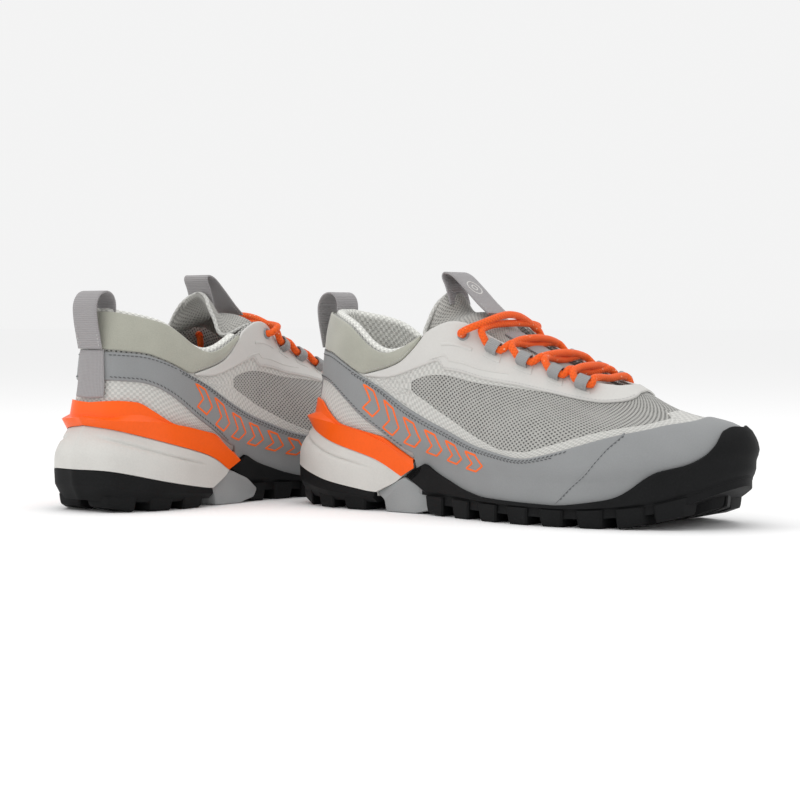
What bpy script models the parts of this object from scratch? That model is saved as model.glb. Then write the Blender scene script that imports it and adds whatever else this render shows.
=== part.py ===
"""A pair of low-cut hiking shoes, modelled piece by piece.

Each shoe is drawn once in its own frame: x runs from heel to toe, y from the outer (lateral) side
to the inner (medial) side, z up, in millimetres. The right shoe keeps that frame, and the left shoe is
its mirror image turned a quarter turn, which comes to swapping x and y. World units are metres.
"""
import math

import bmesh
import bpy
import numpy as np
from mathutils import Vector

# ---------------------------------------------------------------- driving dimensions (mm)
LENGTH_SCALE = 1.0          # stretches every heel-to-toe distance
WIDTH_SCALE = 1.0           # stretches every side-to-side distance
SKIN = 1.8                  # thickness of the mesh upper
OVERLAY = 1.1               # thickness of rand, eyestay and collar panel
GAP = 0.35                  # clearance between neighbouring layers
LINING = 6.0                # padding of the collar
COUNTER = 1.5               # heel counter and toe puff
BOARD = 2.0                 # lasting board
FOOTBED = 4.5               # removable insole
LUG = 5.0                   # lug height
LUG_TAPER = 0.84            # lug foot over its root
WEBBING_WIDTH = 20.0        # heel loop, backstay and tongue loop
WEBBING = 1.2
LACE_DIAMETER = 4.8
EYELET_OUTER = 5.8
EYELET_INNER = 3.6
PLACES = {"right": (-91.8, 2.5), "left": (-153.6, -146.1)}

# Rails of the upper's outer surface, from the sole line up to the topline and throat edge.
# Every rail has the same eleven stations, from the back of the heel to the tip of the toe:
# (x, lateral y, medial y, z).
RAILS = {
    "sole": [(14, 0, 0, 12), (20, -18, 18, 12), (46, -30, 29, 12), (80, -33, 31, 12),
             (120, -38, 31, 11.5), (155, -46, 36, 10.5), (190, -51, 44, 10), (225, -47, 46, 10),
             (262, -33, 40, 14), (286, -14, 24, 24), (294, 4, 4, 28)],
    "feather": [(14, 0, 0, 34), (20, -18, 18, 34), (46, -29, 28, 33), (80, -31, 30, 31),
                (120, -35.5, 30, 28), (155, -45, 36, 25), (190, -51, 44, 23), (225, -47, 46, 23),
                (262, -34, 40, 28), (286, -15, 23, 35), (295, 4, 4, 37)],
    "wide": [(9, 0, 0, 52), (15, -19.5, 19.5, 52), (44, -34, 33, 50), (80, -36, 35, 47),
             (120, -39, 33, 43), (155, -46, 38, 38), (190, -51, 44, 35), (225, -48, 46, 34),
             (262, -35, 40, 38), (287, -16, 24, 43), (296, 4, 4, 45)],
    "mid": [(12, 0, 0, 74), (17, -18, 18, 74), (44, -33, 32, 72), (80, -35, 34, 70),
            (120, -37, 32, 66), (155, -41, 35, 60), (190, -43, 38, 55), (225, -39, 38, 52),
            (258, -27, 32, 51), (280, -13, 18, 53), (288, 4, 4, 55)],
    "upper": [(13, 0, 0, 96), (18, -15.5, 15.5, 95), (44, -30, 30, 91), (78, -33.5, 33, 84),
              (122, -35, 31, 90), (155, -34, 30, 80), (188, -32, 30, 71), (214, -27, 27, 65),
              (238, -18, 20, 62), (252, -8, 10, 62), (256, 3, 3, 62.5)],
    "edge": [(16, 0, 0, 118), (21, -13, 13, 117), (45, -27, 28, 110), (78, -33, 33, 93.5),
             (124, -31, 29, 112), (155, -24, 19, 100), (185, -20, 16, 88), (208, -17, 14, 79),
             (222, -11, 10, 76), (227, -5, 5, 76), (228, 1, 1, 76)],
}
HALF_TURN = 10              # stations from heel to toe along one side
TURN = 2 * HALF_TURN

# Seams on that surface, as (station, height): height 0 is the feather line and 4 the top edge.
BAND_LOW = [(0, 2.15), (1.6, 2.12), (2.1, 1.75), (2.5, 1.3), (3, 0.92), (3.5, 0.3), (4.5, 0.4),
            (10, 0.5)]
BAND_TOP = [(0, 2.95), (1, 2.97), (1.6, 3.0), (2.1, 2.8), (2.5, 2.55), (3.25, 1.8), (3.85, 1.5),
            (4.75, 1.22), (5.9, 1.05), (6.55, 1.4), (7.5, 2.0), (8.3, 2.4), (10, 2.6)]
EYESTAY_LOW = [(2.5, 2.55), (3, 2.56), (3.6, 2.92), (3.85, 2.95), (4.1, 2.78), (4.75, 2.92),
               (5.5, 3.15), (6.3, 3.4), (7.3, 3.66), (8.6, 3.74), (10, 3.76)]
COLLAR_LOW = [(2.5, 2.55), (3, 3.05), (3.3, 3.3), (3.5, 3.7), (3.6, 4.0)]
CLIP_TOP = [(0, 1.55), (1, 1.6), (1.4, 1.58), (2, 1.06), (3, 0.84), (3.5, 0.1)]
COLLAR_END = 3.6            # station where the collar panel ends and the throat edge begins

# Outer lines of the heel unit, at stations 0, 1, 2, 3 and 3.5: (x, y, z), y on both sides
HEEL_STATIONS = (0, 1, 2, 3, 3.5)
HEEL_LINES = {
    "tread": [(-3, 0, 5), (5, 23, 5), (35, 37, 5), (64, 38.5, 5), (74, 38.5, 5)],
    "rubber": [(-8, 0, 24), (0.5, 25, 23), (34, 39.5, 17), (64, 39.5, 12), (74, 39, 11)],
    "foam": [(-8.5, 0, 35), (0, 24.5, 34), (34, 39.5, 29), (70, 38.5, 23), (86, 37, 17)],
    "clip_low": [(3.5, 0, 53), (10, 21.5, 50), (38, 36.5, 43), (72, 37.8, 33), (91, 36.2, 21)],
    "ridge": [(4.5, 0, 58), (11, 21.5, 57), (38, 37.5, 50), (73, 38.5, 41), (97, 36.8, 26)],
}

# ---------------------------------------------------------------- curves and surfaces


def catmull_rom(points, at, closed):
    """Point on a smooth curve through the given points, at the position `at` counted in points."""
    points = np.asarray(points, float)
    count = len(points)
    if closed:
        at = at % count
        first = int(math.floor(at))
        p0, p1, p2, p3 = (points[(first + k) % count] for k in (-1, 0, 1, 2))
    else:
        first = min(max(int(math.floor(at)), 0), count - 2)
        p1, p2 = points[first], points[first + 1]
        p0 = points[first - 1] if first > 0 else 2 * p1 - p2
        p3 = points[first + 2] if first < count - 2 else 2 * p2 - p1
    f = at - first
    return 0.5 * (2 * p1 + (p2 - p0) * f + (2 * p0 - 5 * p1 + 4 * p2 - p3) * f ** 2
                  + (3 * p1 - p0 - 3 * p2 + p3) * f ** 3)


def rail_loop(rail):
    """Close a rail round the shoe: out along the lateral side and back along the medial one."""
    lateral = [(x, y, z) for x, y, _, z in rail]
    medial = [(x, y, z) for x, _, y, z in rail[1:-1]]
    scale = np.array([LENGTH_SCALE, WIDTH_SCALE, 1.0])
    return np.array(lateral + medial[::-1]) * scale


LOOPS = [rail_loop(rail) for rail in RAILS.values()]


def skin_point(t, s):
    """Outer surface of the mesh upper at station t (0 to 20) and height s (-1 to 4)."""
    return catmull_rom([catmull_rom(loop, t, True) for loop in LOOPS], s + 1, False)


def skin_normal(t, s):
    """Outward normal of that surface."""
    step = 0.02
    along = skin_point(t + step, s) - skin_point(t - step, s)
    up = skin_point(t, min(s + step, 4)) - skin_point(t, max(s - step, -1))
    normal = np.cross(along, up)
    return normal / np.linalg.norm(normal)


def layer(t, s, offset):
    """Point at a distance outside (or, when negative, inside) the upper's outer surface."""
    return skin_point(t, s) + offset * skin_normal(t, s)


def fold(t):
    """Station counted from the heel on either side."""
    t = t % TURN
    return min(t, TURN - t)


def seam(curve, t):
    """Height of a seam at a station, the same on both sides of the shoe."""
    stations, heights = zip(*curve)
    return float(np.interp(fold(t), stations, heights))


SIDE = [0, 0.35, 0.7, 1, 1.5, 2, 2.5, 3, 3.25, 3.5, 3.6, 4.1, 4.8, 5.6, 6.4, 7.2, 8, 8.6, 9.1,
        9.6, 10]
RING = SIDE + [TURN - t for t in SIDE[-2:0:-1]]


def heights(t):
    """Shared lines of the grid at a station: every layer has its corners on them."""
    band_low, band_top = seam(BAND_LOW, t), seam(BAND_TOP, t)
    if fold(t) <= EYESTAY_LOW[0][0]:
        eyestay_low = collar_low = band_top
    else:
        eyestay_low = seam(EYESTAY_LOW, t)
        collar_low = seam(COLLAR_LOW, t) if fold(t) < COLLAR_END else (eyestay_low + 4) / 2
    return {
        "feather": 0.0, "clip": band_low / 2, "band_low": band_low,
        "band_mid": (band_low + band_top) / 2, "band_top": band_top,
        "window": (band_top + eyestay_low) / 2, "eyestay_low": eyestay_low,
        "collar_low": collar_low, "collar_mid": (collar_low + 4) / 2, "edge": 4.0,
    }


LINES = list(heights(0))


def heel_point(name, t):
    """Point on one of the heel unit's outer lines, at a station of the lateral or medial side."""
    at = np.interp(fold(t), HEEL_STATIONS, range(len(HEEL_STATIONS)))
    x, y, z = catmull_rom(HEEL_LINES[name], at, False)
    side = -1 if t % TURN <= HALF_TURN else 1
    return np.array([x * LENGTH_SCALE, side * y * WIDTH_SCALE, z])


# ---------------------------------------------------------------- solids


class Solid:
    """Faces of one closed body, collected in shoe millimetres."""

    def __init__(self):
        self.points = []
        self.faces = []

    def face(self, *corners):
        start = len(self.points)
        self.points.extend(corners)
        self.faces.append(tuple(range(start, len(self.points))))

    def strip(self, first, second):
        """Triangles between two rows of points, always split along the same diagonal."""
        for k in range(len(first) - 1):
            self.face(first[k], first[k + 1], second[k + 1])
            self.face(first[k], second[k + 1], second[k])

    def sheet(self, outer, inner, closed):
        """Plate between two equal grids of points; rows run round the shoe."""
        count = len(outer)
        for i in range(count if closed else count - 1):
            j = (i + 1) % count
            self.strip(outer[i], outer[j])
            self.strip(inner[i], inner[j])
            for k in (0, -1):
                self.strip([outer[i][k], inner[i][k]], [outer[j][k], inner[j][k]])
        if not closed:
            for i in (0, -1):
                self.strip(outer[i], inner[i])

    def mesh(self, name, place):
        """Turn the faces into one welded mesh at a shoe's place, in metres."""
        data = bpy.data.meshes.new(name)
        bm = bmesh.new()
        verts = [bm.verts.new(to_world(p, place)) for p in self.points]
        for face in self.faces:
            bm.faces.new([verts[k] for k in face])
        bmesh.ops.remove_doubles(bm, verts=bm.verts, dist=2e-6)
        bmesh.ops.dissolve_degenerate(bm, dist=2e-6, edges=bm.edges)
        bmesh.ops.recalc_face_normals(bm, faces=bm.faces)
        bm.to_mesh(data)
        bm.free()
        return data


def to_world(point, place):
    """Shoe millimetres to world metres; the left shoe swaps x and y, which mirrors it."""
    x, y, z = (float(value) for value in point)
    if place == "left":
        x, y = y, x
    origin = PLACES[place]
    return Vector((x + origin[0], y + origin[1], z)) / 1000


def grid(stations, lines, offset):
    """Points of one side of a layer: a row of the given lines at every station."""
    rows = []
    for t in stations:
        at = heights(t)
        rows.append([layer(t, line(t, at) if callable(line) else at[line], offset)
                     for line in lines])
    return rows


def plate(stations, lines, low, high, closed=False):
    """Layer of the upper between two offsets from its outer surface."""
    solid = Solid()
    solid.sheet(grid(stations, lines, high), grid(stations, lines, low), closed)
    return solid


def around_heel(last):
    """Stations from the medial side round the back of the heel to the lateral side."""
    side = [t for t in SIDE if t <= last]
    return [-t for t in side[:0:-1]] + side


def around_toe(first):
    """Stations from the lateral side round the toe to the medial side."""
    side = [t for t in SIDE if t >= first]
    return side + [TURN - t for t in side[-2::-1]]


def rung(left, right, cells):
    """Evenly spaced points straight across the shoe."""
    return [left + (right - left) * k / cells for k in range(cells + 1)]


def tub(stations, chain, cells=4):
    """Body with a side wall round part of the sole, a bottom and a floor between the two sides.

    `stations` start at the heel's or the toe's middle, and `chain(t)` lists the wall's points from
    the bottom edge over the top to the floor. The far end is closed by a flat bulkhead.
    """
    solid = Solid()
    lateral = [chain(t) for t in stations]
    medial = [chain(TURN - t) for t in stations]
    outward = stations[0] < stations[-1]
    for side, forward in ((lateral, outward), (medial, not outward)):
        for a, b in zip(side, side[1:]):
            solid.strip(*((a, b) if forward else (b, a)))
    bottoms = [rung(a[0], b[0], cells) for a, b in zip(lateral, medial)]
    floors = [rung(a[-1], b[-1], cells) for a, b in zip(lateral, medial)]
    for level in (bottoms, floors):
        for i in range(len(stations) - 1):
            solid.strip(level[i], level[i + 1])
    if stations[-1] not in (0, HALF_TURN):
        solid.strip(bottoms[-1], floors[-1])
        for wall in (lateral[-1], medial[-1]):
            if len(wall) > 2:
                solid.face(*wall)
    return solid, bottoms


def add_lugs(solid, bottoms, pattern, drop):
    """Tapered lugs under the cells of the bottom that the pattern picks."""
    for i in range(len(bottoms) - 1):
        for j in range(len(bottoms[i]) - 1):
            corners = [bottoms[i][j], bottoms[i][j + 1], bottoms[i + 1][j + 1], bottoms[i + 1][j]]
            if not pattern(i, j):
                continue
            for first, second, third in ((0, 1, 2), (0, 2, 3)):
                wanted = {tuple(np.round(corners[k], 6)) for k in (first, second, third)}
                solid.faces = [face for face in solid.faces if
                               {tuple(np.round(solid.points[k], 6)) for k in face} != wanted]
            middle = sum(corners) / 4
            feet = [middle + (c - middle) * LUG_TAPER - np.array([0, 0, drop(c)]) for c in corners]
            solid.face(*feet)
            for k in range(4):
                solid.face(corners[k], corners[(k + 1) % 4], feet[(k + 1) % 4], feet[k])


def inset(point, t, distance):
    """Move a point of the sole straight towards the middle of the shoe."""
    normal = skin_normal(t, 0.5) * np.array([1, 1, 0])
    return point - distance * normal / np.linalg.norm(normal)


def at_height(point, z):
    return np.array([point[0], point[1], z])


# ---------------------------------------------------------------- sole unit

CUP_CLEARANCE = 1.2         # sole walls stand this far off the upper
CLIP_LOW_SEAM = [(0, 1.0), (1, 0.88), (2, 0.55), (3, 0.1), (3.5, 0.0)]
WALL_TOP = [(3.6, 0.05), (4.1, -0.3), (4.6, -0.6), (5.1, -0.8), (6.6, -0.84), (7.6, -0.6),
            (8, -0.2), (8.4, 0.2), (8.8, 0.6), (9.2, 1.5), (9.6, 1.9), (10, 2.0)]
FOREFOOT_LINES = (-1.0, "feather", "clip", "band_low", "band_mid")
HEEL_FLOOR = 8.8            # height of the foam's underside at the heel
RUBBER_WALL = 2.4


def heel_outsole():
    """Black heel rubber: lugs, plate and the rim that wraps the foam's lower edge."""
    def chain(t):
        top = heel_point("rubber", t)
        floor = at_height(inset(heel_point("tread", t), t, RUBBER_WALL), HEEL_FLOOR - GAP)
        return [heel_point("tread", t), top, inset(top, t, RUBBER_WALL), floor]
    solid, bottoms = tub([t for t in SIDE if t <= 3], chain)
    add_lugs(solid, bottoms, lambda i, j: i > 1 and (i + j) % 2 == 0, lambda c: c[2])
    return solid


def rim(t):
    """Top inner edge of the foam cup, which the clip stands on."""
    return layer(t, seam(CLIP_LOW_SEAM, t), CUP_CLEARANCE)


def heel_midsole():
    """Off-white foam cup that holds the heel."""
    def chain(t):
        rubber = heel_point("rubber", t)
        low = at_height(inset(heel_point("tread", t), t, RUBBER_WALL + GAP), HEEL_FLOOR)
        feather = layer(t, 0, CUP_CLEARANCE)
        lip = heel_point("clip_low", t)
        return [low, inset(rubber, t, RUBBER_WALL + GAP) + np.array([0, 0, GAP]),
                rubber + np.array([0, 0, GAP]), heel_point("foam", t),
                lip - np.array([0, 0, GAP]), rim(t), at_height(feather, feather[2] - 1.6)]
    solid, _ = tub([t for t in SIDE if t <= 3.5], chain)
    return solid


def heel_clip():
    """Orange moulded clip round the heel, with a ridge that ends in a spur at the back."""
    stations = around_heel(3.5)
    outer, inner = [], []
    for t in stations:
        low, top = seam(CLIP_LOW_SEAM, t), seam(CLIP_TOP, t)
        outer.append([heel_point("clip_low", t) + np.array([0, 0, GAP]), heel_point("ridge", t),
                      layer(t, (low + top) / 2, CUP_CLEARANCE + 2.2),
                      layer(t, top, CUP_CLEARANCE + 1.2)])
        inner.append([rim(t) + np.array([0, 0, 2 * GAP])]
                     + [layer(t, s, CUP_CLEARANCE) for s in np.linspace(low, top, 4)[1:]])
    solid = Solid()
    solid.sheet(outer, inner, False)
    return solid


def forefoot_outsole():
    """Black forefoot rubber with midfoot wings and the bumper that climbs the toe."""
    def chain(t):
        at, top = heights(t), seam(WALL_TOP, t)
        steps = [min(at.get(line, line), top) for line in FOREFOOT_LINES] + [top]
        inside = OVERLAY + 5 * GAP
        sole = skin_point(t, -1)
        tread = at_height(layer(t, -1, inside + 1.4), sole[2] - 5.0)
        outer = [layer(t, s, inside + 2.0) for s in steps]
        inner = [layer(t, s, inside) for s in steps[::-1]]
        return [tread] + outer + inner + [at_height(inner[-1], sole[2] - GAP)]
    stations = [t for t in SIDE if t >= COLLAR_END][::-1]
    solid, bottoms = tub(stations, chain)
    add_lugs(solid, bottoms, lambda i, j: i > 2 and (i + j) % 2 == 0,
             lambda c: min(LUG, c[2]) if c[2] < LUG + 1.5 else LUG)
    return solid


def forefoot_midsole():
    """Foam core of the forefoot, hidden inside the rand."""
    def chain(t):
        sole, board = skin_point(t, -1), skin_point(t, 0)
        low, high = layer(t, -0.97, -GAP), layer(t, -0.12, -GAP)
        return [at_height(low, sole[2]), at_height(high, board[2] - 1.6)]
    solid, _ = tub([t for t in SIDE if t >= COLLAR_END][::-1], chain, 2)
    return solid


SHANK_PROFILE = [(79.5, 0), (98, 0), (100.5, 6), (101, 12), (92.5, 18.5), (79, 10)]
SHANK_SIDES = (-36.5, 35.5)


def shank_bridge():
    """Light grey bridge between the heel and forefoot rubber."""
    solid = Solid()
    sides = [[np.array([x * LENGTH_SCALE, y * WIDTH_SCALE, z]) for x, z in SHANK_PROFILE]
             for y in SHANK_SIDES]
    loops = [side + side[:1] for side in sides]
    solid.strip(loops[0], loops[1])
    for side in sides:
        solid.face(*side)
    return solid


def insole(offset, low, high):
    """Flat layer over the whole foot bed, cut to the feather line."""
    def chain(t):
        edge = layer(t, 0, offset)
        floor = skin_point(t, 0)[2]
        return [at_height(edge, floor + low), at_height(edge, floor + high)]
    solid, _ = tub(SIDE, chain, 2)
    return solid


# ---------------------------------------------------------------- upper

RAND_LINES = (-1.0, "feather", "clip", "band_low", "band_mid", "band_top")
SEAM_GAP = 0.04             # seam allowance between panels, in heights
ROLL = 2.5                  # the collar's padding stands this far above the topline


def rand():
    """Grey wrap: a band round the heel that widens into the rand of the forefoot."""
    rows = {True: [], False: []}
    for t in RING:
        at = heights(t)
        low = -1.0 if fold(t) >= COLLAR_END else at["band_low"]
        steps = [max(at.get(line, line), low) for line in RAND_LINES]
        steps[-1] -= SEAM_GAP
        for outside in rows:
            offset = GAP + OVERLAY if outside else GAP
            rows[outside].append([layer(t, s, offset) for s in steps])
    solid = Solid()
    solid.sheet(rows[True], rows[False], True)
    return solid


def eyestay():
    """Smooth off-white overlay round the throat, with a strip back to the heel band."""
    def upper_limit(t, at, line):
        return at[line] if fold(t) >= COLLAR_END else at["collar_low"] - SEAM_GAP
    lines = ["eyestay_low"] + [
        (lambda t, at, line=line: upper_limit(t, at, line))
        for line in ("collar_low", "collar_mid", "edge")]
    return plate(around_toe(3), lines, GAP, GAP + OVERLAY)


def collar_panel():
    return plate(around_heel(3.5), ("collar_low", "collar_mid", "edge"), GAP, GAP + OVERLAY)


LINING_LINES = (lambda t, at: at["band_mid"] + SEAM_GAP, "band_top", "window", "eyestay_low",
                "collar_low", "collar_mid", "edge")


def collar_lining():
    """Padded knit lining, rolled over the topline."""
    outside = -SKIN - GAP
    stations = around_heel(3.5)
    outer = grid(stations, LINING_LINES, outside)
    inner = grid(stations, LINING_LINES, outside - LINING)
    for t, outer_row, inner_row in zip(stations, outer, inner):
        lift = np.array([0, 0, ROLL])
        outer_row.append(layer(t, 4, outside - LINING * 0.25) + lift)
        inner_row.append(layer(t, 4, outside - LINING * 0.75) + lift)
    solid = Solid()
    solid.sheet(outer, inner, False)
    return solid


def heel_counter():
    lines = ("feather", "clip", "band_low", lambda t, at: at["band_mid"] - SEAM_GAP)
    return plate(around_heel(2.5), lines, -SKIN - GAP - COUNTER, -SKIN - GAP)


def toe_puff():
    lines = ("feather", "clip", "band_low", "band_mid", "band_top")
    return plate(around_toe(8), lines, -SKIN - GAP - COUNTER, -SKIN - GAP)


def backstay():
    """Webbing down the back of the heel, over the band."""
    low = 2 * GAP + OVERLAY
    heights_up = (lambda t, at: seam(CLIP_TOP, t) + 0.1, "band_low", "band_mid",
                  lambda t, at: at["band_top"] - SEAM_GAP)
    return plate((-0.56, -0.35, 0, 0.35, 0.56), heights_up, low, low + WEBBING)


# ---------------------------------------------------------------- tongue

TONGUE = 4.0                # padding
TONGUE_DEPTH = 4.2          # tongue edges lie this far under the throat edge
TONGUE_STATIONS = (4.1, 4.8, 5.6, 6.4, 7.2, 8, 8.6)
# Free end above the throat: (x, lateral y, medial y, z), from the first lace up to its top
TONGUE_TOP = [(106, -16, 10, 125), (111, -19, 13, 121.5), (118, -21.5, 16.5, 115)]
TONGUE_TILT = np.array([0.37, 0.0, 0.93])
CROWN = 1.2


def tongue_rows():
    """Outer surface of the tongue, from its free top to its base."""
    rows = []
    for x, lateral, medial, z in TONGUE_TOP:
        left = np.array([x * LENGTH_SCALE, lateral * WIDTH_SCALE, z])
        right = np.array([x * LENGTH_SCALE, medial * WIDTH_SCALE, z])
        rows.append((left, right))
    for t in TONGUE_STATIONS:
        s = 4 if t < 5 else 3.9
        left, right = (layer(at, s, -TONGUE_DEPTH) for at in (t, TURN - t))
        tuck = 0.12 if t < 5 else 0.02
        left, right = left + (right - left) * tuck, right + (left - right) * tuck
        rows.append((left, right))
    result = []
    for left, right in rows:
        row = rung(left, right, 4)
        for k in (1, 2, 3):
            row[k] = row[k] + TONGUE_TILT * CROWN * math.sin(math.pi * k / 4)
        result.append(row)
    return result


def tongue():
    rows = tongue_rows()
    under = [[p - TONGUE_TILT * TONGUE for p in row] for row in rows]
    solid = Solid()
    solid.sheet(rows, under, False)
    return solid


KEEPER_ROWS = (4, 5)        # tongue rows that the keeper spans


def tongue_keeper():
    """Webbing strap sewn across the tongue, under the first crossing of the lace."""
    rows = [tongue_rows()[k][1:4] for k in KEEPER_ROWS]
    outer = [[p + TONGUE_TILT * (GAP + 0.8) for p in row] for row in rows]
    inner = [[p + TONGUE_TILT * GAP for p in row] for row in rows]
    solid = Solid()
    solid.sheet(outer, inner, False)
    return solid


# ---------------------------------------------------------------- webbing loops

HEEL_LOOP = [(9.8, 96), (7, 103.5), (4, 112), (4.2, 119), (8.5, 124), (14.5, 125), (19, 122.3)]
TONGUE_LOOP = [(136, 116.2), (128, 122.5), (119, 130.5), (110.5, 136.5), (104.5, 135), (104, 130),
               (106.5, 126.7)]
TONGUE_LOOP_MIDDLE = -4.5   # the tongue's middle lies a little to the lateral side


def strap(path, middle, steps=3):
    """Webbing bent along a path in the shoe's long upright plane."""
    spots = [catmull_rom([(x * LENGTH_SCALE, z) for x, z in path], k / steps, False)
             for k in range((len(path) - 1) * steps + 1)]
    outer, inner = [], []
    for k, spot in enumerate(spots):
        ahead = spots[min(k + 1, len(spots) - 1)] - spots[max(k - 1, 0)]
        ahead = ahead / np.linalg.norm(ahead)
        side = np.array([-ahead[1], ahead[0]]) * WEBBING / 2
        for rows, sign in ((outer, 1), (inner, -1)):
            x, z = spot + sign * side
            rows.append([np.array([x, middle + y, z])
                         for y in (-WEBBING_WIDTH / 2, 0, WEBBING_WIDTH / 2)])
    solid = Solid()
    solid.sheet(outer, inner, False)
    return solid


# ---------------------------------------------------------------- lace, its loops and eyelets

EYELET = (4.28, 3.7)        # station and height of the eyelet on the lateral side
LOOP_STATIONS = (5.0, 5.65, 6.35, 7.05)
LOOP_LENGTH = 7.0
LOOP_INNER = 3.6
LOOP_OUTER = 4.4
LOOP_LIFT = 4.9             # middle of a loop above the tape's underside
TAPE_LOW = 3.74
TAPE_HIGH = 3.93
TAPE = 1.0
TUBE_SIDES = 8
LACE_SIDES = ("lateral", "medial")
AGLET_LENGTH = 18.0
AGLET_RADIUS = 1.9


def side_station(t, side):
    return t if side == "lateral" else TURN - t


def loop_frame(t, side):
    """Middle of a lace loop, the way through it towards the toe, and the way up from the upper."""
    at = side_station(t, side)
    normal = skin_normal(at, 4)
    along = skin_point(side_station(t + 0.05, side), 4) - skin_point(side_station(t - 0.05, side), 4)
    along = along / np.linalg.norm(along)
    middle = layer(at, 3.93, 3 * GAP + OVERLAY + LOOP_LIFT)
    return middle, along, normal


def ring_solid(middle, along, up, inner, outer, length, sides=TUBE_SIDES):
    """Short tube round the line `along`."""
    across = np.cross(along, up)
    across = across / np.linalg.norm(across)
    up = np.cross(across, along)
    solid = Solid()
    rings = {}
    for radius in (inner, outer):
        for end in (-0.5, 0.5):
            rings[radius, end] = [
                middle + along * length * end + radius * (
                    math.cos(2 * math.pi * (k + 0.5) / sides) * up
                    + math.sin(2 * math.pi * (k + 0.5) / sides) * across)
                for k in list(range(sides)) + [0]]
    for end in (-0.5, 0.5):
        solid.strip(rings[inner, end], rings[outer, end])
    for radius in (inner, outer):
        solid.strip(rings[radius, -0.5], rings[radius, 0.5])
    return solid


def rod(middle, along, up, radius, length, sides=TUBE_SIDES):
    """Plain cylinder, used as a cutter and for the aglets."""
    across = np.cross(along, up)
    across = across / np.linalg.norm(across)
    up = np.cross(across, along)
    ends = []
    for end in (-0.5, 0.5):
        ends.append([middle + along * length * end + radius * (
            math.cos(2 * math.pi * k / sides) * up + math.sin(2 * math.pi * k / sides) * across)
            for k in range(sides)])
    solid = Solid()
    solid.strip(ends[0] + ends[0][:1], ends[1] + ends[1][:1])
    for end in ends:
        solid.face(*end)
    return solid


def eyelet_frame(side):
    t, s = EYELET
    at = side_station(t, side)
    return skin_point(at, s), skin_normal(at, s)


def eyelet(side):
    middle, normal = eyelet_frame(side)
    lift = 2 * GAP + OVERLAY + 0.5
    return ring_solid(middle + normal * lift, normal, np.array([1.0, 0, 0]),
                      EYELET_INNER, EYELET_OUTER, 1.0, 16)


def lace_tape(side):
    """Tape along the throat edge that the lace loops are sewn to."""
    stations = [side_station(t, side) for t in (4.8, 5.6, 6.4, 7.2)]
    lines = (lambda t, at: TAPE_LOW, lambda t, at: TAPE_HIGH)
    low = 3 * GAP + OVERLAY
    return plate(stations, lines, low, low + TAPE)


def strand(a, b, lift):
    """Middle of a lace crossing, raised over or dipped under the other strand."""
    return (a + b) / 2 + TONGUE_TILT * lift


# Loops that each strand passes, from the top down, as (side, loop number)
FIRST_STRAND = [("medial", 0), ("lateral", 1), ("medial", 2), ("lateral", 3)]
SECOND_STRAND = [("medial", 3), ("lateral", 2), ("medial", 1), ("lateral", 0)]
# Tail inside the shoe: (station, height, distance inside the upper's outer surface)
TAIL = [(4.3, 3.35, 6.5), (4.2, 2.8, 6.5), (4.2, 2.2, 7), (4.5, 1.7, 8), (5, 1.4, 9),
        (5.6, 1.35, 9), (6.2, 1.35, 9), (6.8, 1.35, 9), (7.3, 1.35, 9.5)]
EDGE_STATION, EDGE_RISE = 4.5, 6.2      # where the lace climbs over the throat edge
CROSSING_OVER = (8.5, 7.9, 7.6, 7.3)    # rise of the upper strand at each crossing, from the top
CROSSING_UNDER = (2.9, 2.4, 2.1, 1.8)
TOE_BAR = 1.0


def lace_route():
    """Points of the lace from one tail inside the shoe to the other."""
    def tail(side):
        middle, normal = eyelet_frame(side)
        inside = [layer(side_station(t, side), s, -depth) for t, s, depth in TAIL]
        out = [middle + normal * rise for rise in (-4, 0.5, 5.4)]
        return inside[::-1] + out + [layer(side_station(EDGE_STATION, side), 4, EDGE_RISE)]

    def through(name, number, backwards):
        middle, along, up = loop_frame(LOOP_STATIONS[number], name)
        ends = [middle + up * 0.5 + along * LOOP_LENGTH * share for share in (-0.75, 0.75)]
        return ends[::-1] if backwards else ends

    points = tail("lateral")
    for lift, (name, number) in zip(CROSSING_OVER, FIRST_STRAND):
        ends = through(name, number, False)
        points += [strand(points[-1], ends[0], lift)] + ends
    for lift, (name, number) in zip((TOE_BAR,) + CROSSING_UNDER[:0:-1], SECOND_STRAND):
        ends = through(name, number, True)
        points += [strand(points[-1], ends[0], lift)] + ends
    last = tail("medial")[::-1]
    return points + [strand(points[-1], last[0], CROSSING_UNDER[0])] + last


LACE_STEP = 9.5             # longest stretch of the lace tube without a point


def smooth_cord(points, step):
    """Points of a smooth curve through the route, with the route's own points kept."""
    points = [np.asarray(point, float) for point in points]
    last = len(points) - 1
    ways = []
    for k in range(last + 1):
        way = points[min(k + 1, last)] - points[max(k - 1, 0)]
        ways.append(way / np.linalg.norm(way))
    result = [points[0]]
    for k in range(last):
        a, b = points[k], points[k + 1]
        reach = float(np.linalg.norm(b - a))
        pieces = max(1, int(round(reach / step)))
        for i in range(1, pieces + 1):
            f = i / pieces
            result.append((2 * f ** 3 - 3 * f ** 2 + 1) * a + (3 * f ** 2 - 2 * f ** 3) * b
                          + reach * (f ** 3 - 2 * f ** 2 + f) * ways[k]
                          + reach * (f ** 3 - f ** 2) * ways[k + 1])
    return result


# ---------------------------------------------------------------- objects and materials


def material(name, colour, roughness, metallic=0.0):
    mat = bpy.data.materials.get(name) or bpy.data.materials.new(name)
    mat.use_nodes = True
    shader = mat.node_tree.nodes["Principled BSDF"]
    shader.inputs["Base Color"].default_value = (*colour, 1)
    shader.inputs["Roughness"].default_value = roughness
    shader.inputs["Metallic"].default_value = metallic
    mat.diffuse_color = (*colour, 1)
    return mat


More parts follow.
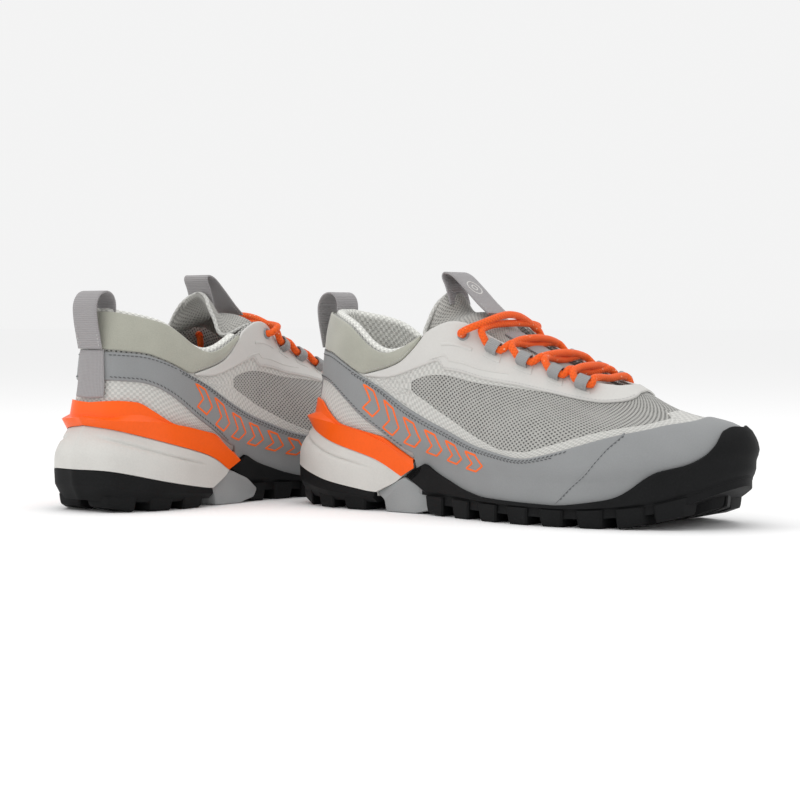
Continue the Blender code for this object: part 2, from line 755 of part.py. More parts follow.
FINISHES = {
    "rubber_black": ((0.02, 0.02, 0.022), 0.6),
    "foam_white": ((0.72, 0.71, 0.68), 0.7),
    "tpu_orange": ((0.95, 0.2, 0.02), 0.35),
    "shank_grey": ((0.45, 0.46, 0.46), 0.5),
    "board_cream": ((0.62, 0.58, 0.5), 0.8),
    "footbed_grey": ((0.3, 0.31, 0.32), 0.9),
    "mesh_grey": ((0.42, 0.42, 0.39), 0.85),
    "microfibre_grey": ((0.27, 0.29, 0.3), 0.6),
    "overlay_white": ((0.75, 0.74, 0.71), 0.45),
    "suede_beige": ((0.52, 0.51, 0.43), 0.85),
    "knit_white": ((0.74, 0.74, 0.7), 0.9),
    "webbing_grey": ((0.42, 0.4, 0.4), 0.75),
    "eyelet_grey": ((0.5, 0.51, 0.52), 0.3),
    "cord_orange": ((0.95, 0.17, 0.02), 0.6),
    "plastic_clear": ((0.8, 0.75, 0.7), 0.25),
}


def finish(name):
    return material(name, *FINISHES[name])


def place_object(data, name, mat, parent=None):
    """Link a world-space mesh as an object; a moving piece hangs from its joint's empty."""
    obj = bpy.data.objects.new(name, data)
    bpy.context.collection.objects.link(obj)
    data.materials.append(finish(mat))
    if parent is not None:
        data.transform(parent.matrix_world.inverted())
        obj.parent = parent
    return obj


def joint_empty(name, point, place):
    empty = bpy.data.objects.new(name, None)
    bpy.context.collection.objects.link(empty)
    empty.location = to_world(point, place)
    bpy.context.view_layer.update()
    return empty


def boolean(obj, other, operation):
    """Apply an exact Boolean and throw the second object away."""
    modifier = obj.modifiers.new("cut", "BOOLEAN")
    modifier.operation = operation
    modifier.solver = "EXACT"
    modifier.object = other
    bpy.context.view_layer.update()
    shaped = bpy.data.meshes.new_from_object(
        obj.evaluated_get(bpy.context.evaluated_depsgraph_get()))
    obj.modifiers.clear()
    obj.data = shaped
    bpy.data.objects.remove(other, do_unlink=True)


def lace_object(name, points, place):
    """Round cord as a bevelled curve with filled ends."""
    curve = bpy.data.curves.new(name, "CURVE")
    curve.dimensions = "3D"
    curve.bevel_depth = LACE_DIAMETER / 2000
    curve.bevel_resolution = 2
    curve.use_fill_caps = True
    spline = curve.splines.new("POLY")
    spline.points.add(len(points) - 1)
    for target, point in zip(spline.points, points):
        target.co = (*to_world(point, place), 1)
    curve.materials.append(finish("cord_orange"))
    obj = bpy.data.objects.new(name, curve)
    bpy.context.collection.objects.link(obj)
    return obj


TONGUE_HINGE = (222.0, -1.0, 70.0)
HEEL_LOOP_HINGE = (11.0, 0.0, 96.0)
TONGUE_LOOP_HINGE = (107.0, TONGUE_LOOP_MIDDLE, 126.0)


def build_shoe(place, solids):
    """All pieces of one shoe at its place."""
    def add(name, mat, parent=None):
        data = solids[name].mesh(f"{place}_{name}", place)
        return place_object(data, f"{place}_{name}", mat, parent=parent)

    tongue_joint = joint_empty(f"{place}_tongue_hinge", TONGUE_HINGE, place)
    tab_joint = joint_empty(f"{place}_tongue_loop_hinge", TONGUE_LOOP_HINGE, place)
    heel_joint = joint_empty(f"{place}_heel_loop_hinge", HEEL_LOOP_HINGE, place)
    for name, mat in STATIC_PIECES.items():
        add(name, mat)
    add("tongue", "mesh_grey", tongue_joint)
    add("tongue_keeper", "webbing_grey", tongue_joint)
    add("tongue_loop", "webbing_grey", tab_joint)
    add("heel_loop", "webbing_grey", heel_joint)

    for side in LACE_SIDES:
        tape = add(f"lace_loops_{side}", "webbing_grey")
        for number in range(len(LOOP_STATIONS)):
            middle, along, up = loop_frame(LOOP_STATIONS[number], side)
            tube = ring_solid(middle, along, up, LOOP_INNER, LOOP_OUTER, LOOP_LENGTH)
            tool = place_object(tube.mesh("tool", place), "tool", "webbing_grey")
            boolean(tape, tool, "UNION")
        add(f"eyelet_{side}", "eyelet_grey")
        middle, normal = eyelet_frame(side)
        for name in ("upper", "eyestay"):
            punch = rod(middle, normal, np.array([1.0, 0, 0]), EYELET_INNER + 0.2, 14, 16)
            tool = place_object(punch.mesh("tool", place), "tool", "webbing_grey")
            boolean(bpy.data.objects[f"{place}_{name}"], tool, "DIFFERENCE")

    points = smooth_cord(lace_route(), LACE_STEP)
    lace_object(f"{place}_lace", points, place)
    for side, (end, before) in {"lateral": (points[0], points[1]),
                                "medial": (points[-1], points[-2])}.items():
        along = (end - before) / np.linalg.norm(end - before)
        tip = rod(end + along * (GAP + AGLET_LENGTH / 2), along, np.array([0, 0, 1.0]),
                  AGLET_RADIUS, AGLET_LENGTH)
        place_object(tip.mesh("aglet", place), f"{place}_aglet_{side}", "plastic_clear")


STATIC_PIECES = {
    "heel_outsole": "rubber_black", "forefoot_outsole": "rubber_black",
    "shank_bridge": "shank_grey", "heel_midsole": "foam_white", "forefoot_midsole": "foam_white",
    "heel_clip": "tpu_orange", "lasting_board": "board_cream", "footbed": "footbed_grey",
    "upper": "mesh_grey", "rand": "microfibre_grey", "eyestay": "overlay_white",
    "collar_panel": "suede_beige", "collar_lining": "knit_white", "heel_counter": "board_cream",
    "toe_puff": "board_cream", "backstay": "webbing_grey",
}


def shoe_solids():
    """Every piece once, in the shoe's own frame."""
    board_edge = -SKIN - COUNTER - 3 * GAP
    solids = {
        "heel_outsole": heel_outsole(), "forefoot_outsole": forefoot_outsole(),
        "shank_bridge": shank_bridge(), "heel_midsole": heel_midsole(),
        "forefoot_midsole": forefoot_midsole(), "heel_clip": heel_clip(),
        "lasting_board": insole(board_edge, -1.2, BOARD - 1.2),
        "footbed": insole(board_edge - 0.4, BOARD - 1.2 + GAP, BOARD - 1.2 + GAP + FOOTBED),
        "upper": plate(RING, LINES, -SKIN, 0, closed=True),
        "rand": rand(), "eyestay": eyestay(), "collar_panel": collar_panel(),
        "collar_lining": collar_lining(), "heel_counter": heel_counter(), "toe_puff": toe_puff(),
        "backstay": backstay(), "tongue": tongue(), "tongue_keeper": tongue_keeper(),
        "tongue_loop": strap(TONGUE_LOOP, TONGUE_LOOP_MIDDLE), "heel_loop": strap(HEEL_LOOP, 0.0),
    }
    for side in LACE_SIDES:
        solids[f"lace_loops_{side}"] = lace_tape(side)
        solids[f"eyelet_{side}"] = eyelet(side)
    return solids


def main():
    for obj in list(bpy.data.objects):
        bpy.data.objects.remove(obj, do_unlink=True)
    solids = shoe_solids()
    for place in PLACES:
        build_shoe(place, solids)


main()
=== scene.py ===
"""A pair of low-cut hiking shoes: every visible piece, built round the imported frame.

Each piece is shaped once, in the shoe's own millimetres: x from heel to toe, y from the outer
(lateral) side to the inner (medial) side, z up. The right shoe keeps that frame, and the left
shoe swaps x and y, which mirrors it and sets it at a right angle.
"""
import logging
import math
from dataclasses import dataclass, field
from enum import Enum
from typing import Callable, Iterable, Optional, Sequence, Union

import bmesh
import bpy
import numpy as np
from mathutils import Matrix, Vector


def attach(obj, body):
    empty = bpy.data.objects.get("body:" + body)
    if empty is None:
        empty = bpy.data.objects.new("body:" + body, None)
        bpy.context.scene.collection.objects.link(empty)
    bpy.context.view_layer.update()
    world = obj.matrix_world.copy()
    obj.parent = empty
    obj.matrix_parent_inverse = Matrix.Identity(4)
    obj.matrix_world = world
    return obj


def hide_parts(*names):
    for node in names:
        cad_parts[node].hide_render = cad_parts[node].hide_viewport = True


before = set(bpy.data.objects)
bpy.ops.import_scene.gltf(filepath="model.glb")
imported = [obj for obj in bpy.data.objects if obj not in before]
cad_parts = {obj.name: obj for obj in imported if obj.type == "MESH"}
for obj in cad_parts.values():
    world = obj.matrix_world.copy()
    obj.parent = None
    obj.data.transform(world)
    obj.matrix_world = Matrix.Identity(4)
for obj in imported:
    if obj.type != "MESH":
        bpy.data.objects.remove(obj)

LOG = logging.getLogger("shoes")
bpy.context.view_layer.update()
MM = 0.001
Array = np.ndarray
Socket = bpy.types.NodeSocket
Value = Union[float, tuple, Socket]
Colour = tuple[float, float, float]
Curve = Sequence[tuple[float, float]]


OFF_TONGUE = (0.37, 0.0, 0.93)  # way straight off the tongue's face


class Side(Enum):
    """The two shoes of the pair, with the place of each one's heel corner in millimetres."""

    RIGHT = ("right", -91.8, 2.5)
    LEFT = ("left", -153.6, -146.1)

    @property
    def prefix(self) -> str:
        """Name that this shoe's nodes and bodies start with."""
        return self.value[0]

    def to_world(self, points: Array) -> Array:
        """Move shoe millimetres to the shared frame.

        Args:
            points: Any number of points, shape (n, 3).

        Returns:
            The same points in metres.
        """
        moved = np.array(points, float)
        if self is Side.LEFT:
            moved[:, :2] = moved[:, 1::-1]
        moved[:, 0] += self.value[1]
        moved[:, 1] += self.value[2]
        return moved * MM


# ------------------------------------------------------------------------------ shape of the last


def catmull(points: Array, at: Array, closed: bool) -> Array:
    """Sample a smooth curve through points.

    Args:
        points: Points of the curve, shape (n, ...).
        at: Positions, counted in points.
        closed: Whether the last point joins the first.

    Returns:
        One row for each position.
    """
    points = np.asarray(points, float)
    at = np.asarray(at, float)
    count = len(points)
    if closed:
        at = at % count
        first = np.floor(at).astype(int) % count
        near = [points[(first + k) % count] for k in (-1, 0, 1, 2)]
    else:
        first = np.clip(np.floor(at).astype(int), 0, count - 2)
        before, after = 2 * points[0] - points[1], 2 * points[-1] - points[-2]
        longer = np.concatenate([[before], points, [after]])
        near = [longer[first + k] for k in range(4)]
    f = at - np.floor(at) if closed else at - first
    f = f.reshape(f.shape + (1,) * (points.ndim - 1))
    return cubic(*near, f)


def cubic(p0: Array, p1: Array, p2: Array, p3: Array, f: Array) -> Array:
    """Blend four neighbouring points.

    Args:
        p0: Point before the stretch.
        p1: Point where the stretch starts.
        p2: Point where it ends.
        p3: Point after it.
        f: Share of the stretch.

    Returns:
        The point on the smooth curve.
    """
    return 0.5 * (2 * p1 + (p2 - p0) * f + (2 * p0 - 5 * p1 + 4 * p2 - p3) * f ** 2
                  + (3 * p1 - p0 - 3 * p2 + p3) * f ** 3)


def unit(vectors: Array) -> Array:
    """Scale vectors to length one."""
    return vectors / np.maximum(np.linalg.norm(vectors, axis=-1, keepdims=True), 1e-9)


TURN = 20.0  # stations in a turn round the shoe
HALF = 10.0  # station of the toe


def fold(t: Array) -> Array:
    """Station counted from the heel on either side."""
    t = np.asarray(t, float) % TURN
    return np.minimum(t, TURN - t)


def on_side(t: Array, lateral: bool) -> Array:
    """Lateral station, or the one straight across from it on the medial side."""
    return t if lateral else TURN - t


@dataclass
class ShoeForm:
    """Outer surface of the upper, drawn through six rails of eleven stations each.

    Every station is (x, lateral y, medial y, z). Station t runs round the shoe from 0 at the
    heel over 10 at the toe to 20, lateral side first; height s runs from -1 at the sole over
    0 at the feather line to 4 at the top edge.
    """

    sole: Sequence = ((14, 0, 0, 12), (20, -18, 18, 12), (46, -30, 29, 12), (80, -33, 31, 12),
                      (120, -38, 31, 11.5), (155, -46, 36, 10.5), (190, -51, 44, 10),
                      (225, -47, 46, 10), (262, -33, 40, 14), (286, -14, 24, 24), (294, 4, 4, 28))
    feather: Sequence = ((14, 0, 0, 34), (20, -18, 18, 34), (46, -29, 28, 33), (80, -31, 30, 31),
                         (120, -35.5, 30, 28), (155, -45, 36, 25), (190, -51, 44, 23),
                         (225, -47, 46, 23), (262, -34, 40, 28), (286, -15, 23, 35),
                         (295, 4, 4, 37))
    wide: Sequence = ((9, 0, 0, 52), (15, -19.5, 19.5, 52), (44, -34, 33, 50), (80, -36, 35, 47),
                      (120, -39, 33, 43), (155, -46, 38, 38), (190, -51, 44, 35),
                      (225, -48, 46, 34), (262, -35, 40, 38), (287, -16, 24, 43), (296, 4, 4, 45))
    mid: Sequence = ((12, 0, 0, 74), (17, -18, 18, 74), (44, -33, 32, 72), (80, -35, 34, 70),
                     (120, -37, 32, 66), (155, -41, 35, 60), (190, -43, 38, 55), (225, -39, 38, 52),
                     (258, -27, 32, 51), (280, -13, 18, 53), (288, 4, 4, 55))
    upper: Sequence = ((13, 0, 0, 96), (18, -15.5, 15.5, 95), (44, -30, 30, 91),
                       (78, -33.5, 33, 84), (122, -35, 31, 90), (155, -34, 30, 80),
                       (188, -32, 30, 71), (214, -27, 27, 65), (238, -18, 20, 62),
                       (252, -8, 10, 62), (256, 3, 3, 62.5))
    edge: Sequence = ((16, 0, 0, 118), (21, -13, 13, 117), (45, -27, 28, 110), (78, -33, 33, 93.5),
                      (124, -31, 29, 112), (155, -24, 19, 100), (185, -20, 16, 88),
                      (208, -17, 14, 79), (222, -11, 10, 76), (227, -5, 5, 76), (228, 1, 1, 76))

    def __post_init__(self) -> None:
        """Close every rail round the shoe."""
        loops = []
        for rail in (self.sole, self.feather, self.wide, self.mid, self.upper, self.edge):
            lateral = [(x, y, z) for x, y, _, z in rail]
            medial = [(x, y, z) for x, _, y, z in rail[1:-1]]
            loops.append(np.array(lateral + medial[::-1], float))
        self.loops = np.array(loops)

    def point(self, t: Array, s: Array) -> Array:
        """Points of the surface.

        Args:
            t: Stations, any shape.
            s: Heights, same shape or one that fits it.

        Returns:
            Points, with one more axis than the stations.
        """
        t, s = np.broadcast_arrays(np.asarray(t, float), np.asarray(s, float))
        shape = t.shape
        flat_t, flat_s = t.ravel(), s.ravel() + 1
        rings = catmull(self.loops.transpose(1, 0, 2), flat_t, True)
        longer = np.concatenate([2 * rings[:, :1] - rings[:, 1:2], rings,
                                 2 * rings[:, -1:] - rings[:, -2:-1]], axis=1)
        first = np.clip(np.floor(flat_s).astype(int), 0, 4)
        f = (flat_s - first)[:, None]
        row = np.arange(len(first))
        result = cubic(*(longer[row, first + k] for k in range(4)), f)
        return result.reshape(shape + (3,))

    def normal(self, t: Array, s: Array) -> Array:
        """Outward normals of the surface.

        Args:
            t: Stations, any shape.
            s: Heights, same shape or one that fits it.

        Returns:
            Unit vectors, one for each point.
        """
        t, s = np.broadcast_arrays(np.asarray(t, float), np.asarray(s, float))
        step = 0.02
        along = self.point(t + step, s) - self.point(t - step, s)
        up = self.point(t, np.minimum(s + step, 4)) - self.point(t, np.maximum(s - step, -1))
        return unit(np.cross(along, up))

    def layer(self, t: Array, s: Array, offset: Array) -> Array:
        """Points at a distance outside the surface.

        Args:
            t: Stations.
            s: Heights.
            offset: Distance outside the surface in millimetres, negative inside.

        Returns:
            Points, shape of the stations with one more axis.
        """
        t, s, offset = np.broadcast_arrays(*(np.asarray(v, float) for v in (t, s, offset)))
        return self.point(t, s) + offset[..., None] * self.normal(t, s)


FORM = ShoeForm()


@dataclass(frozen=True)
class Seam:
    """Line round the shoe, the same on both sides, as (station, height) pairs."""

    knots: Curve
    ease: float = 0.22

    def at(self, t: Array) -> Array:
        """Heights of the line, its corners eased a little.

        Args:
            t: Stations.

        Returns:
            One height for each station.
        """
        stations, heights = zip(*self.knots)
        shifts = np.linspace(-self.ease, self.ease, 9)
        near = [np.clip(fold(t) + shift, stations[0], stations[-1]) for shift in shifts]
        return np.mean([np.interp(spots, stations, heights) for spots in near], axis=0)


SOLE_LINE = Seam(((0, 0.02), (20, 0.02)))
BAND_LOW = Seam(((0, 2.15), (1.6, 2.12), (2.1, 1.75), (2.5, 1.3), (3, 0.92), (3.5, 0.3)))
BAND_TOP = Seam(((0, 2.95), (1, 2.97), (1.6, 3.0), (2.1, 2.8), (2.5, 2.55), (3.25, 1.8),
                 (3.85, 1.5), (4.75, 1.22), (5.9, 1.05), (6.55, 1.4), (7.5, 2.0), (8.3, 2.4),
                 (10, 2.6)))
EYESTAY_LOW = Seam(((2.5, 2.5), (3, 2.56), (3.5, 2.82), (3.92, 2.98), (4.02, 2.74), (4.75, 2.84),
                    (5.5, 3.02), (6.3, 3.14), (7.3, 3.22), (8.3, 3.5), (9.2, 3.72),
                    (10, 3.76)), 0.05)
COLLAR_LOW = Seam(((0, 2.97), (1.6, 3.0), (2.1, 2.8), (2.5, 2.55), (3, 3.05), (3.3, 3.3),
                   (3.5, 3.7), (3.6, 4.0)), 0.08)
WINDOW_TOP = Seam(((3.40, 2.30), (3.50, 2.5), (3.75, 2.6), (4.55, 2.66), (5.55, 2.96),
                   (6.35, 3.20), (7.25, 3.24), (10, 3.7)), 0.08)
WINDOW_LOW = Seam(((3.40, 2.25), (3.55, 2.05), (4.00, 1.75), (4.70, 1.45), (5.40, 1.20),
                   (5.95, 1.25), (6.55, 1.62), (7.10, 1.98), (7.50, 2.22), (8.30, 2.58),
                   (8.90, 2.74), (9.00, 2.96), (9.50, 3.02), (10, 3.02)), 0.06)
CLIP_TOP = Seam(((0, 1.55), (1, 1.6), (1.4, 1.58), (2, 1.06), (3, 0.84), (3.5, 0.1)), 0.1)
CLIP_LOW = Seam(((0, 1.0), (1, 0.88), (2, 0.55), (3, 0.1), (3.5, 0.0)), 0.1)
WALL_TOP = Seam(((3.6, 0.05), (4.1, -0.3), (4.6, -0.6), (5.1, -0.8), (6.6, -0.84), (7.4, -0.62),
                 (7.6, -0.4), (7.8, 0.0), (8.0, 0.38), (8.5, 0.45), (8.8, 0.78), (9.0, 1.12),
                 (9.2, 1.7), (9.6, 1.85), (10, 1.75)), 0.12)


@dataclass(frozen=True)
class Build:
    """Thicknesses and clearances that the layers share, in millimetres."""

    skin: float = 1.8
    overlay: float = 1.1
    gap: float = 0.35
    lining: float = 6.0
    webbing: float = 1.2
    webbing_width: float = 20.0
    lace: float = 4.3
    cup: float = 1.2
    rubber: float = 2.4

    @property
    def over(self) -> float:
        """Distance of the overlays' outer face from the skin."""
        return self.gap + self.overlay


SIZE = Build()

# ------------------------------------------------------------------------------ mesh making


@dataclass
class Shape:
    """One closed mesh in shoe millimetres, with a UV map in metres."""

    points: Array
    faces: list
    uvs: list = field(default_factory=list)

    def joined(self, other: "Shape") -> "Shape":
        """Put another shape beside this one in a single mesh.

        Args:
            other: Shape to add.

        Returns:
            Both in one mesh.
        """
        shift = len(self.points)
        faces = self.faces + [tuple(k + shift for k in face) for face in other.faces]
        return Shape(np.concatenate([self.points, other.points]), faces, self.uvs + other.uvs)


def run_of(points: Array) -> Array:
    """Length along a line up to each of its points."""
    return np.concatenate([[0], np.cumsum(np.linalg.norm(np.diff(points, axis=0), axis=1))])


def merged(shapes: Iterable[Shape]) -> Shape:
    """Put any number of shapes side by side.

    Args:
        shapes: Shapes, in order.

    Returns:
        All of them in one mesh.
    """
    total = Shape(np.zeros((0, 3)), [])
    for shape in shapes:
        total = total.joined(shape)
    return total


def loft(loops: Array, ring: bool = False, across: Optional[Array] = None) -> Shape:
    """Skin a stack of closed sections.

    Args:
        loops: Sections, shape (stations, points, 3); each closes on itself.
        ring: Whether the last section joins the first; if not, both ends are capped.
        across: UV position of every point along its section, if not its own arc length.

    Returns:
        The closed shape.
    """
    count, size = loops.shape[:2]
    wrapped = np.concatenate([loops, loops[:, :1]], axis=1)
    if across is None:
        steps = np.linalg.norm(np.diff(wrapped, axis=1), axis=2).mean(axis=0)
        across = np.concatenate([[0], np.cumsum(steps)])
    chain = np.concatenate([loops, loops[:1]]) if ring else loops
    steps = np.linalg.norm(np.diff(chain, axis=0), axis=2).mean(axis=1)
    along = np.concatenate([[0], np.cumsum(steps)])
    faces, uvs = [], []
    for i in range(count if ring else count - 1):
        j = (i + 1) % count
        for k in range(size):
            m = (k + 1) % size
            faces.append((i * size + k, j * size + k, j * size + m, i * size + m))
            low, high = across[k] * MM, across[k + 1] * MM
            uvs += [(along[i] * MM, low), (along[i + 1] * MM, low),
                    (along[i + 1] * MM, high), (along[i] * MM, high)]
    if not ring:
        for i in (0, count - 1):
            order = range(size) if i == 0 else range(size - 1, -1, -1)
            faces.append(tuple(i * size + k for k in order))
            uvs += [(along[i] * MM, across[k] * MM) for k in order]
    return Shape(loops.reshape(-1, 3), faces, uvs)


def fillet(points: Array, radius: float, steps: int = 3) -> Array:
    """Round the inner corners of open polylines.

    Args:
        points: Corners, shape (corners, 3).
        radius: How far from each corner the rounding starts.
        steps: Points in each rounding, less one.

    Returns:
        The longer polyline, always with the same number of points.
    """
    result = [points[0]]
    for before, corner, after in zip(points, points[1:], points[2:]):
        back, ahead = before - corner, after - corner
        first = corner + back * min(0.45, radius / max(np.linalg.norm(back), 1e-6))
        last = corner + ahead * min(0.45, radius / max(np.linalg.norm(ahead), 1e-6))
        for f in np.linspace(0, 1, steps + 1):
            result.append((1 - f) ** 2 * first + 2 * f * (1 - f) * corner + f ** 2 * last)
    result.append(points[-1])
    return np.array(result)


def panel(stations: Array, low: Array, high: Array, base: float, thick: float, rows: int = 14,
          ring: bool = False, swell: float = 0.0) -> Shape:
    """Layer of the upper with rolled edges.

    Args:
        stations: Where its sections stand round the shoe.
        low: Height of its lower edge at each station.
        high: Height of its upper edge at each station.
        base: Distance of its underside from the skin.
        thick: Thickness.
        rows: Points between its edges.
        ring: Whether it runs all round.
        swell: Extra thickness at mid height.

    Returns:
        The closed shape.
    """
    reach = np.linalg.norm(FORM.point(stations, high) - FORM.point(stations, low), axis=1)
    height = np.maximum(high - low, 1e-4)
    turn = np.minimum(thick * 0.9 * height / np.maximum(reach, 0.1), height * 0.3)
    angles = np.linspace(0, math.pi / 2, 5)
    shares, lifts = [], []
    for a in angles:
        shares.append(low + turn * (1 - math.cos(a)))
        lifts.append(thick * math.sin(a))
    for f in np.linspace(0, 1, rows + 2)[1:-1]:
        shares.append(low + turn + (height - 2 * turn) * f)
        lifts.append(thick + swell * math.sin(math.pi * f))
    for a in angles[::-1]:
        shares.append(high - turn * (1 - math.cos(a)))
        lifts.append(thick * math.sin(a))
    for f in (0.66, 0.33):
        shares.append(low + height * f)
        lifts.append(0.0)
    heights = np.array(shares).T
    offsets = base + np.array(lifts)[None, :] + np.zeros_like(heights)
    return loft(FORM.layer(stations[:, None], heights, offsets), ring)


def ribbon(points: Array, ups: Array, width: float, height: float, closed: bool) -> Shape:
    """Thin raised strip along a line on a surface.

    Args:
        points: Line, shape (n, 3).
        ups: Surface normals along it.
        width: Width of the strip.
        height: Its thickness.
        closed: Whether the line closes.

    Returns:
        The closed shape.
    """
    ahead = np.roll(points, -1, axis=0) - np.roll(points, 1, axis=0)
    if not closed:
        ahead[0], ahead[-1] = points[1] - points[0], points[-1] - points[-2]
    side = unit(np.cross(ups, ahead)) * width / 2
    up = unit(ups) * height
    profile = ((-1, -0.6), (-0.9, 0.7), (-0.55, 1), (0.55, 1), (0.9, 0.7), (1, -0.6))
    loops = np.stack([points + side * a + up * b for a, b in profile], axis=1)
    return loft(loops, closed)


def tube(points: Array, radius: Union[float, Array], sides: int = 12) -> Shape:
    """Round cord along a path, carried without twist.

    Args:
        points: Path, shape (n, 3).
        radius: One radius, or one for each point.
        sides: Faces round it.

    Returns:
        The closed shape, with U along the cord and V round it.
    """
    ahead = np.gradient(points, axis=0)
    ahead = unit(ahead)
    across = unit(np.cross(ahead[0], (0.3, 0.2, 1.0)))
    rows = []
    radii = np.broadcast_to(radius, (len(points),))
    angles = np.linspace(0, 2 * math.pi, sides, endpoint=False)
    for point, way, r in zip(points, ahead, radii):
        across = unit(across - way * np.dot(across, way))
        other = np.cross(way, across)
        rows.append(point + r * (np.cos(angles)[:, None] * across
                                 + np.sin(angles)[:, None] * other))
    return loft(np.array(rows))


def smooth_path(points: Sequence, step: float) -> Array:
    """Hermite curve through a route, with the route's own points kept.

    Args:
        points: Route.
        step: Longest stretch without a point.

    Returns:
        Points of the curve.
    """
    points = [np.asarray(point, float) for point in points]
    last = len(points) - 1
    ways = [unit(points[min(k + 1, last)] - points[max(k - 1, 0)]) for k in range(last + 1)]
    result = [points[0]]
    for k in range(last):
        a, b = points[k], points[k + 1]
        reach = float(np.linalg.norm(b - a))
        pieces = max(1, int(round(reach / step)))
        for i in range(1, pieces + 1):
            f = i / pieces
            result.append((2 * f ** 3 - 3 * f ** 2 + 1) * a + (3 * f ** 2 - 2 * f ** 3) * b
                          + reach * (f ** 3 - 2 * f ** 2 + f) * ways[k]
                          + reach * (f ** 3 - f ** 2) * ways[k + 1])
    return np.array(result)


def along_line(points: Array, pitch: float, start: float = 0.0) -> tuple[Array, Array]:
    """Set even spots on a line.

    Args:
        points: The line.
        pitch: Distance from one spot to the next.
        start: Where the first spot lies.

    Returns:
        The spots, and each one's position counted in points of the line.
    """
    length = run_of(points)
    wanted = np.arange(start, length[-1], pitch)
    at = np.interp(wanted, length, np.arange(len(points)))
    spots = np.stack([np.interp(at, np.arange(len(points)), points[:, k]) for k in range(3)], 1)
    return spots, at


def stitches(points: Array, ups: Array, pitch: float = 2.6, length: float = 1.9,
             radius: float = 0.3, slant: float = 0.0) -> Shape:
    """Row of sewn stitches along a line on a surface.

    Args:
        points: The line.
        ups: Surface normals along it.
        pitch: Distance from stitch to stitch.
        length: Length of the thread that shows.
        radius: Half its thickness.
        slant: How far each stitch leans off the line, as a share of its length.

    Returns:
        All the stitches as one shape.
    """
    spots, at = along_line(points, pitch, pitch / 2)
    nearest = np.clip(np.round(at).astype(int), 1, len(points) - 2)
    ahead = unit(points[nearest + 1] - points[nearest - 1])
    up = unit(ups[nearest])
    side = np.cross(up, ahead)
    ahead = unit(ahead + slant * side)
    side = np.cross(up, ahead)
    rows = []
    for share, fat in ((-0.5, 0.35), (-0.25, 1), (0.25, 1), (0.5, 0.35)):
        ring = [spots + ahead * length * share + fat * radius * (side * a + up * b)
                for a, b in ((1, -0.4), (0.6, 0.8), (-0.6, 0.8), (-1, -0.4))]
        rows.append(np.stack(ring, 1))
    return merged(loft(thread) for thread in np.stack(rows, 1))


# ------------------------------------------------------------------------------ finishes


